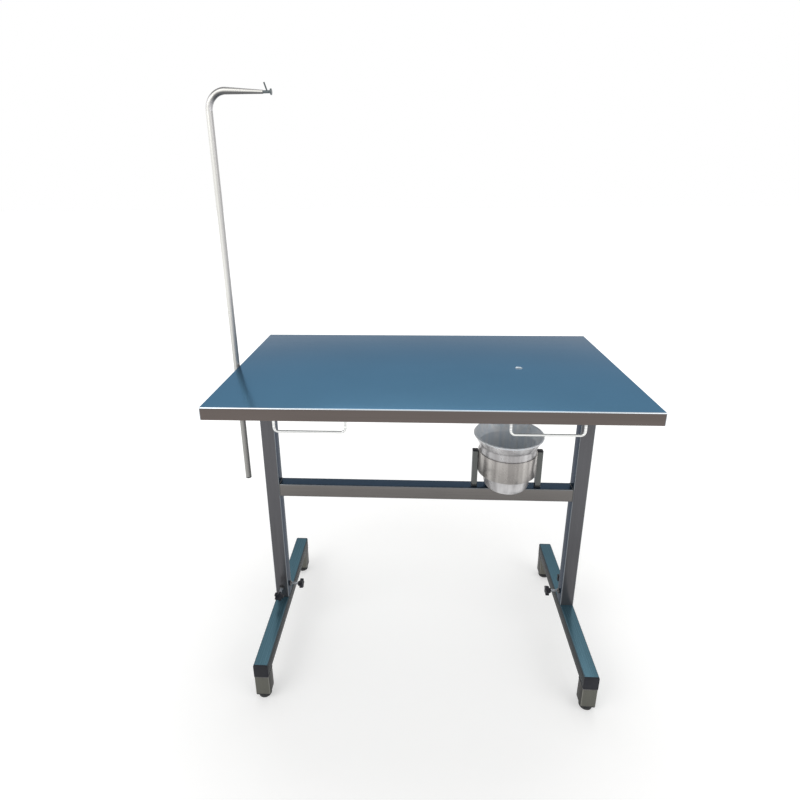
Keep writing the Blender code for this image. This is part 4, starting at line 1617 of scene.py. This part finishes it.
@dataclass
class PoleSleeve:
    """The sleeve that holds the pole: a tube on a plate from the leg, a clamp nut and two nylon bushes."""

    wall: float = 0.0018
    plate: float = 0.006
    plate_height: float = 0.050
    plate_drop: float = 0.010
    edge: float = 0.0008
    edge_steps: int = 3
    nut_sink: float = 0.0015
    bush_bore: float = 0.0083
    bush_barrel: float = 0.0095
    bush_flange: float = 0.002
    bead: WeldBead = WeldBead(size=0.0010, corner=0.0012)
    nut: HexNut = HexNut()

    def build(self, joint: Joint) -> None:
        """Makes the sleeve and its bushes.

        Args:
            joint: the joint of the clamp screw.
        """
        low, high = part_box("pole_sleeve")
        axis = Vector((joint["pos_m"][0], joint["pos_m"][1], 0))
        outer = (high.y - low.y) / 2
        inner = outer - self.wall
        profile = ((inner, low.z), (outer, low.z), (outer, high.z), (inner, high.z), (inner, low.z))
        tube = Workpiece.turned("pole_sleeve_tube", profile, Matrix.Translation(axis))
        face = stand(joint) @ Matrix.Translation((0, 0, outer - self.nut_sink))
        tube.cut(Workpiece.bore(SCREW_HOLE, face, 2 * self.wall))
        nut = self.nut.build("pole_sleeve_nut").moved(face)
        plate_top = high.z - self.plate_drop
        plate_low = Vector((axis.x + inner + self.wall / 2, -self.plate / 2, plate_top - self.plate_height))
        plate_high = Vector((high.x, self.plate / 2, plate_top))
        plate = Workpiece.block("pole_sleeve_plate", plate_low, plate_high)
        plate.pick_along(Axis.X).bevel(self.edge, self.edge_steps)
        tube.joined(nut, plate).smooth(Crease.TURNED)
        tube.fit("frame", Slot.TUBE, Finishes.LEG, "pole_sleeve")
        self.bead.lay("weld_sleeve_plate", "frame", plate_low, plate_high, Axis.X, plate_high.x)
        self.bushes(axis, (low.z + high.z) / 2)

    def bushes(self, axis: Vector, middle: float) -> None:
        """Moulds the top bush, and turns a copy of it over for the bottom one.

        Args:
            axis: a point on the pole's axis, at the floor.
            middle: the height of the sleeve's middle.
        """
        low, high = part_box("pole_bush_top")
        flange = (high.x - low.x) / 2
        seat = high.z - self.bush_flange
        half = self.edge / 2
        profile = (
            (self.bush_bore, low.z),
            (self.bush_barrel - half, low.z),
            (self.bush_barrel, low.z + half),
            (self.bush_barrel, seat),
            (flange, seat),
            (flange, high.z - half),
            (flange - half, high.z),
            (self.bush_bore, high.z),
            (self.bush_bore, low.z),
        )
        top = Workpiece.turned("pole_bush_top_moulding", profile, Matrix.Translation(axis))
        top.smooth(Crease.TURNED)
        over = Matrix.Translation((0, 2 * axis.y, 2 * middle)) @ Matrix.Rotation(math.pi, 4, "X")
        bottom = top.copied("pole_bush_bottom_moulding", over)
        top.fit("pole_bushes", Slot.NYLON, Finishes.NYLON, "pole_bush_top")
        bottom.fit("pole_bushes", Slot.NYLON, Finishes.NYLON, "pole_bush_bottom")


@dataclass
class DripPole:
    """The drip pole: a bent tube, its hook and its bottom plug."""

    radius: float = 0.008
    sides: int = 32
    bend: float = 0.042
    bend_steps: int = 14
    tip: float = 0.0042
    arm_steps: int = 6
    hook_bar: float = 0.0034
    hook_disc: float = 0.003
    hook_edge: float = 0.0006
    hook_sides: int = 40
    pin: float = 0.0018
    pin_sides: int = 20
    pin_length: float = 0.021
    pin_place: float = 0.010
    pin_lean: float = math.radians(18)
    plug_head: float = 0.003
    plug_spigot: float = 0.006

    def build(self) -> None:
        """Bends the tube and draws down its end, then makes the hook and the plug."""
        low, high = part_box("pole")
        axis_x = low.x + self.radius
        arm_z = high.z - self.radius
        middle = (low.y + high.y) / 2
        piece = Workpiece.ring("pole_tube", self.radius, (axis_x, middle, low.z), sides=self.sides)
        piece.pick_ring(Axis.Z, low.z).draw((0, 0, arm_z - self.bend - low.z))
        piece.bend((axis_x + self.bend, middle, arm_z - self.bend), (0, 1, 0), self.bend_steps)
        start = axis_x + self.bend
        span = high.x - start
        steps = []
        size = self.radius
        for step in range(1, self.arm_steps + 1):
            share = step / self.arm_steps
            new_size = self.radius + (self.tip - self.radius) * share
            point = (start + span * share, middle, arm_z - (self.radius - new_size))
            steps.append(((span / self.arm_steps, 0, new_size - size), new_size / size, point))
            size = new_size
        piece.run(steps).close().outward().smooth(Crease.DRAWN)
        piece.fit("drip_pole", Slot.POLISHED, Finishes.POLE, "pole")
        # The arm's painted shade differs from the pole's: lit from above, darker under it and inside its
        # bend.
        piece.repaint(Finishes.ARM, lambda point, normal: point.z > arm_z - self.bend)
        self.hook()
        self.plug(Matrix.Translation((axis_x, middle, 0)))

    def hook(self) -> None:
        """Turns the hook's bar with its end disc, and stands its pin in it."""
        low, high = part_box("pole_hook")
        disc = (high.y - low.y) / 2
        length = high.x - low.x
        shoulder = length - self.hook_disc
        profile = (
            (self.hook_bar, 0.0),
            (self.hook_bar, shoulder),
            (disc - self.hook_edge, shoulder),
            (disc, shoulder + self.hook_edge),
            (disc, length - self.hook_edge),
            (disc - self.hook_edge, length),
        )
        place = Matrix.Translation((low.x, (low.y + high.y) / 2, low.z + disc))
        along = place @ Matrix.Rotation(math.pi / 2, 4, "Y")
        bar = Workpiece.turned("pole_hook_bar", profile, along, self.hook_sides)
        top = self.pin_length - self.hook_edge
        pin_profile = ((self.pin, 0.0), (self.pin, top), (self.pin - self.hook_edge, self.pin_length))
        lean = Matrix.Translation((self.pin_place, 0, 0)) @ Matrix.Rotation(-self.pin_lean, 4, "Y")
        pin = Workpiece.turned("pole_hook_pin", pin_profile, place @ lean, self.pin_sides)
        bar.joined(pin).smooth(Crease.TURNED).fit("drip_pole", Slot.POLISHED, Finishes.HOOK, "pole_hook")

    def plug(self, place: Matrix) -> None:
        """Moulds the plug in the pole's lower end.

        Args:
            place: the pole's axis.
        """
        low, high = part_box("pole_end_plug")
        head = low.z + self.plug_head
        profile = (
            (self.radius - self.hook_edge, low.z),
            (self.radius, low.z + self.hook_edge),
            (self.radius, head),
            (self.plug_spigot, head),
            (self.plug_spigot, high.z - self.hook_edge),
            (self.plug_spigot - self.hook_edge, high.z),
        )
        piece = Workpiece.turned("pole_end_plug_moulding", profile, place, self.sides).smooth(Crease.TURNED)
        piece.fit("drip_pole", Slot.PLASTIC, Finishes.BLACK, "pole_end_plug")


@dataclass
class PailStand:
    """The capped uprights on the crossbar and the hoop between them."""

    tube: SquareTube = SquareTube(corner=0.002, wall=0.0015)
    cap: TubePlug = TubePlug(corner=0.002, edge=0.0008, inset=0.0017)
    bead: WeldBead = WeldBead(size=0.0010, corner=0.002)
    band: float = 0.0015
    band_sides: int = 96
    edge: float = 0.0004
    turned_in: float = 0.0008

    def build(self) -> None:
        """Makes the uprights with their caps and weld beads, and the hoop."""
        ends = {end.value: "frame" for end in End}
        self.tube.lengths(Axis.Z, Finishes.UPRIGHT, like_nodes("bucket_upright", ends))
        cap = self.cap.build("upright_cap_left", Axis.Z, Face.HIGH)
        cap.fit_all("plug", Slot.PLASTIC, Finishes.BLACK, like_nodes("upright_cap", ends))
        for end in End:
            low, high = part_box(f"bucket_upright_{end.value}")
            self.bead.lay(f"weld_upright_{end.value}", "frame", low, high, Axis.Z, low.z)
        self.hoop()

    def hoop(self) -> None:
        """Rolls the hoop from a band, with its top edge turned in towards the pail."""
        low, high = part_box("bucket_hoop")
        middle = centre("bucket_hoop")
        radius = (high.x - low.x) / 2
        inner = radius - self.band
        lip = inner - self.turned_in
        profile = (
            (inner, low.z),
            (radius - self.edge, low.z),
            (radius, low.z + self.edge),
            (radius, high.z - 2 * self.edge),
            (radius - self.edge / 2, high.z - self.edge / 2),
            (radius - 2 * self.edge, high.z),
            (lip, high.z),
            (lip, high.z - self.edge),
            (inner, high.z - self.band),
            (inner, low.z),
        )
        place = Matrix.Translation((middle.x, middle.y, 0))
        piece = Workpiece.turned("bucket_hoop_band", profile, place, self.band_sides).smooth(Crease.DRAWN)
        piece.fit("frame", Slot.POLISHED, Finishes.HOOP, "bucket_hoop")


@dataclass
class Pail:
    """The bucket: spun from sheet, with a funnel rim and a rolled bead."""

    wall: float = 0.0010
    bead: float = 0.0022
    bead_sides: int = 14
    flare: float = 0.029
    flare_steps: int = 7
    flare_curve: float = 1.15
    foot: float = 0.0635
    foot_rise: float = 0.022
    foot_steps: int = 8
    base: float = 0.047
    base_shares: tuple[float, ...] = (0.2, 0.6, 1.0)
    shoulder: float = 0.092
    shoulder_shares: tuple[float, ...] = (0.35, 0.7, 1.0)
    clearance: float = 0.0012
    throat: Profile = ((0.0, -0.004), (0.0003, -0.0015), (0.0014, 0.0))
    sides: int = 96
    looks_up: float = 0.7

    def build(self) -> None:
        """Spins the pail, rolls its bead and gives its inside and its bead a finish of their own, painted
        nearly white as painted light.
        """
        low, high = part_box("bucket")
        middle = centre("bucket")
        middle.z = low.z
        rim = (high.x - low.x) / 2
        profile = self.profile(rim, high.z - low.z)
        piece = Workpiece.turned("bucket_pail", profile, Matrix.Translation(middle), self.sides, lid=False)
        piece.thickened(self.wall)
        bead = Workpiece.added(
            "bucket_bead",
            bpy.ops.mesh.primitive_torus_add,
            major_radius=rim - self.bead,
            minor_radius=self.bead,
            major_segments=self.sides,
            minor_segments=self.bead_sides,
            location=(middle.x, middle.y, high.z - self.bead),
        ).placed()
        piece.joined(bead).smooth(Crease.TURNED).fit("pail", Slot.POLISHED, Finishes.PAIL, "bucket")

        def inside(point: Vector, normal: Vector) -> bool:
            """Whether a face looks into the pail, or is on its bead."""
            inward = normal.xy.dot(point.xy - middle.xy) < 0 or normal.z > self.looks_up
            return point.z > high.z - 2 * self.bead or (inward and point.z > low.z + self.wall / 2)

        # Painted light: the inside and the bead are painted nearly white.
        piece.repaint(Finishes.PAIL_INSIDE, inside)

    def profile(self, rim: float, height: float) -> list[tuple[float, float]]:
        """The pail's outline, from the middle of its base to its rim.

        Args:
            rim: the rim's radius.
            height: the pail's height.

        Returns:
            Radius and height of each ring.
        """
        hoop_low, hoop_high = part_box("bucket_hoop")
        neck = (hoop_high.x - hoop_low.x) / 2 - PailStand.band - self.clearance
        rings = [(self.base * share, 0.0) for share in self.base_shares]
        for step in range(1, self.foot_steps + 1):
            angle = math.pi / 2 * step / self.foot_steps
            radius = self.base + (self.foot - self.base) * math.sin(angle)
            rings.append((radius, self.foot_rise * (1 - math.cos(angle))))
        for share in self.shoulder_shares:
            radius = self.foot + (neck - self.foot) * share
            rings.append((radius, self.foot_rise + (self.shoulder - self.foot_rise) * share))
        rings += [(neck + out, height - self.flare + rise) for out, rise in self.throat]
        start, throat = rings[-1]
        for step in range(1, self.flare_steps + 1):
            share = step / self.flare_steps
            out = (rim - self.bead - start) * share
            rings.append((start + out, throat + (self.flare - self.bead) * share**self.flare_curve))
        return rings


@dataclass(frozen=True)
class Lamp:
    """A large soft lamp: its place, its width and its share of the power."""

    name: str
    place: Point
    width: float
    share: float


@dataclass
class Studio:
    """Camera, soft lamps, pale floor and white surroundings."""

    table_x: float
    place: Point = (-0.0244, -1.3459, 1.3343)
    yaw: float = -0.0533
    pitch: float = 0.3332
    roll: float = 0.0094
    lens_mm: float = 23.974
    sensor_mm: float = 36.0
    shift_x: float = 0.0126
    shift_y: float = -0.0386
    lamp_power: float = 34.0
    lamp_aim: float = 0.6
    lamps: tuple[Lamp, ...] = (
        Lamp("key_lamp", (-2.2, -2.0, 3.0), 2.4, 1.0),
        Lamp("fill_lamp", (2.6, -1.8, 2.2), 2.4, 0.6),
        Lamp("top_lamp", (0.2, 1.2, 3.4), 2.6, 0.8),
    )
    surround: float = 0.62
    floor_size: float = 60.0
    floor_drop: float = 0.0005

    def build(self) -> None:
        """Sets up everything round the table."""
        self.camera()
        self.light()
        self.floor()
        self.world()
        bpy.context.scene.view_settings.view_transform = "Standard"

    def camera(self) -> None:
        """Stands the camera where the photograph was taken."""
        data = bpy.data.cameras.new("camera")
        data.sensor_width = self.sensor_mm
        data.lens = self.lens_mm
        data.shift_x = self.shift_x
        data.shift_y = self.shift_y
        camera = bpy.data.objects.new("camera", data)
        bpy.context.scene.collection.objects.link(camera)
        yaw = Matrix.Rotation(-self.yaw, 4, "Z")
        pitch = Matrix.Rotation(math.pi / 2 - self.pitch, 4, "X")
        roll = Matrix.Rotation(-self.roll, 4, "Z")
        place = Vector(self.place) + Vector((self.table_x, 0, 0))
        camera.matrix_world = Matrix.Translation(place) @ yaw @ pitch @ roll
        bpy.context.scene.camera = camera

    def light(self) -> None:
        """Hangs the lamps and turns them to the table."""
        for lamp in self.lamps:
            data = bpy.data.lights.new(lamp.name, "AREA")
            data.size = lamp.width
            data.energy = self.lamp_power * lamp.share
            obj = bpy.data.objects.new(lamp.name, data)
            bpy.context.scene.collection.objects.link(obj)
            obj.location = lamp.place
            aim = Vector((self.table_x, 0, self.lamp_aim)) - Vector(lamp.place)
            obj.rotation_euler = aim.to_track_quat("-Z", "Y").to_euler()

    def floor(self) -> None:
        """Lays the floor.

        The frame is the fixed body, so the floor goes down with a foot when the posts are let out.
        """
        settings = {"size": self.floor_size, "location": (0, 0, -self.floor_drop)}
        piece = Workpiece.added("floor", bpy.ops.mesh.primitive_plane_add, **settings).placed()
        piece.obj.data.materials.append(Finishes.FLOOR.material())
        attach(piece.obj, "left_foot")

    def world(self) -> None:
        """Makes the surroundings white to the eye and to the metal, and a softer light to everything else."""
        world = bpy.data.worlds.new("white_studio")
        bpy.context.scene.world = world
        world.use_nodes = True
        tree = world.node_tree
        ground = tree.nodes["Background"]
        path = add_node(tree, "ShaderNodeLightPath").node.outputs
        seen = path["Is Camera Ray"]
        for ray in ("Is Glossy Ray", "Is Transmission Ray"):
            seen = add_node(tree, "ShaderNodeMath", {"operation": "MAXIMUM"}, {0: seen, 1: path[ray]})
        strength = add_node(tree, "ShaderNodeMapRange", {"To Min": self.surround}, {"Value": seen})
        ground.inputs["Color"].default_value = linear(WHITE)
        tree.links.new(strength, ground.inputs["Strength"])


def remove_startup() -> None:
    """Removes the objects of the startup scene."""
    for obj in list(bpy.data.objects):
        bpy.data.objects.remove(obj, do_unlink=True)


def main() -> None:
    """Builds the table's looks and its studio."""
    logging.basicConfig(level=logging.INFO, format="%(message)s")
    remove_startup()
    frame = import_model()
    joints = {joint["name"]: joint for joint in frame["joints"]}
    Studio(centre("tabletop").x).build()
    FoldedTop().build()
    TubeFrame().build(joints)
    HandScrews().build(joints)
    Feet().build()
    RopeRails().build()
    PoleSleeve().build(joints["pole_clamp_turn"])
    DripPole().build()
    PailStand().build()
    Pail().build()


if __name__ == "__main__":
    main()
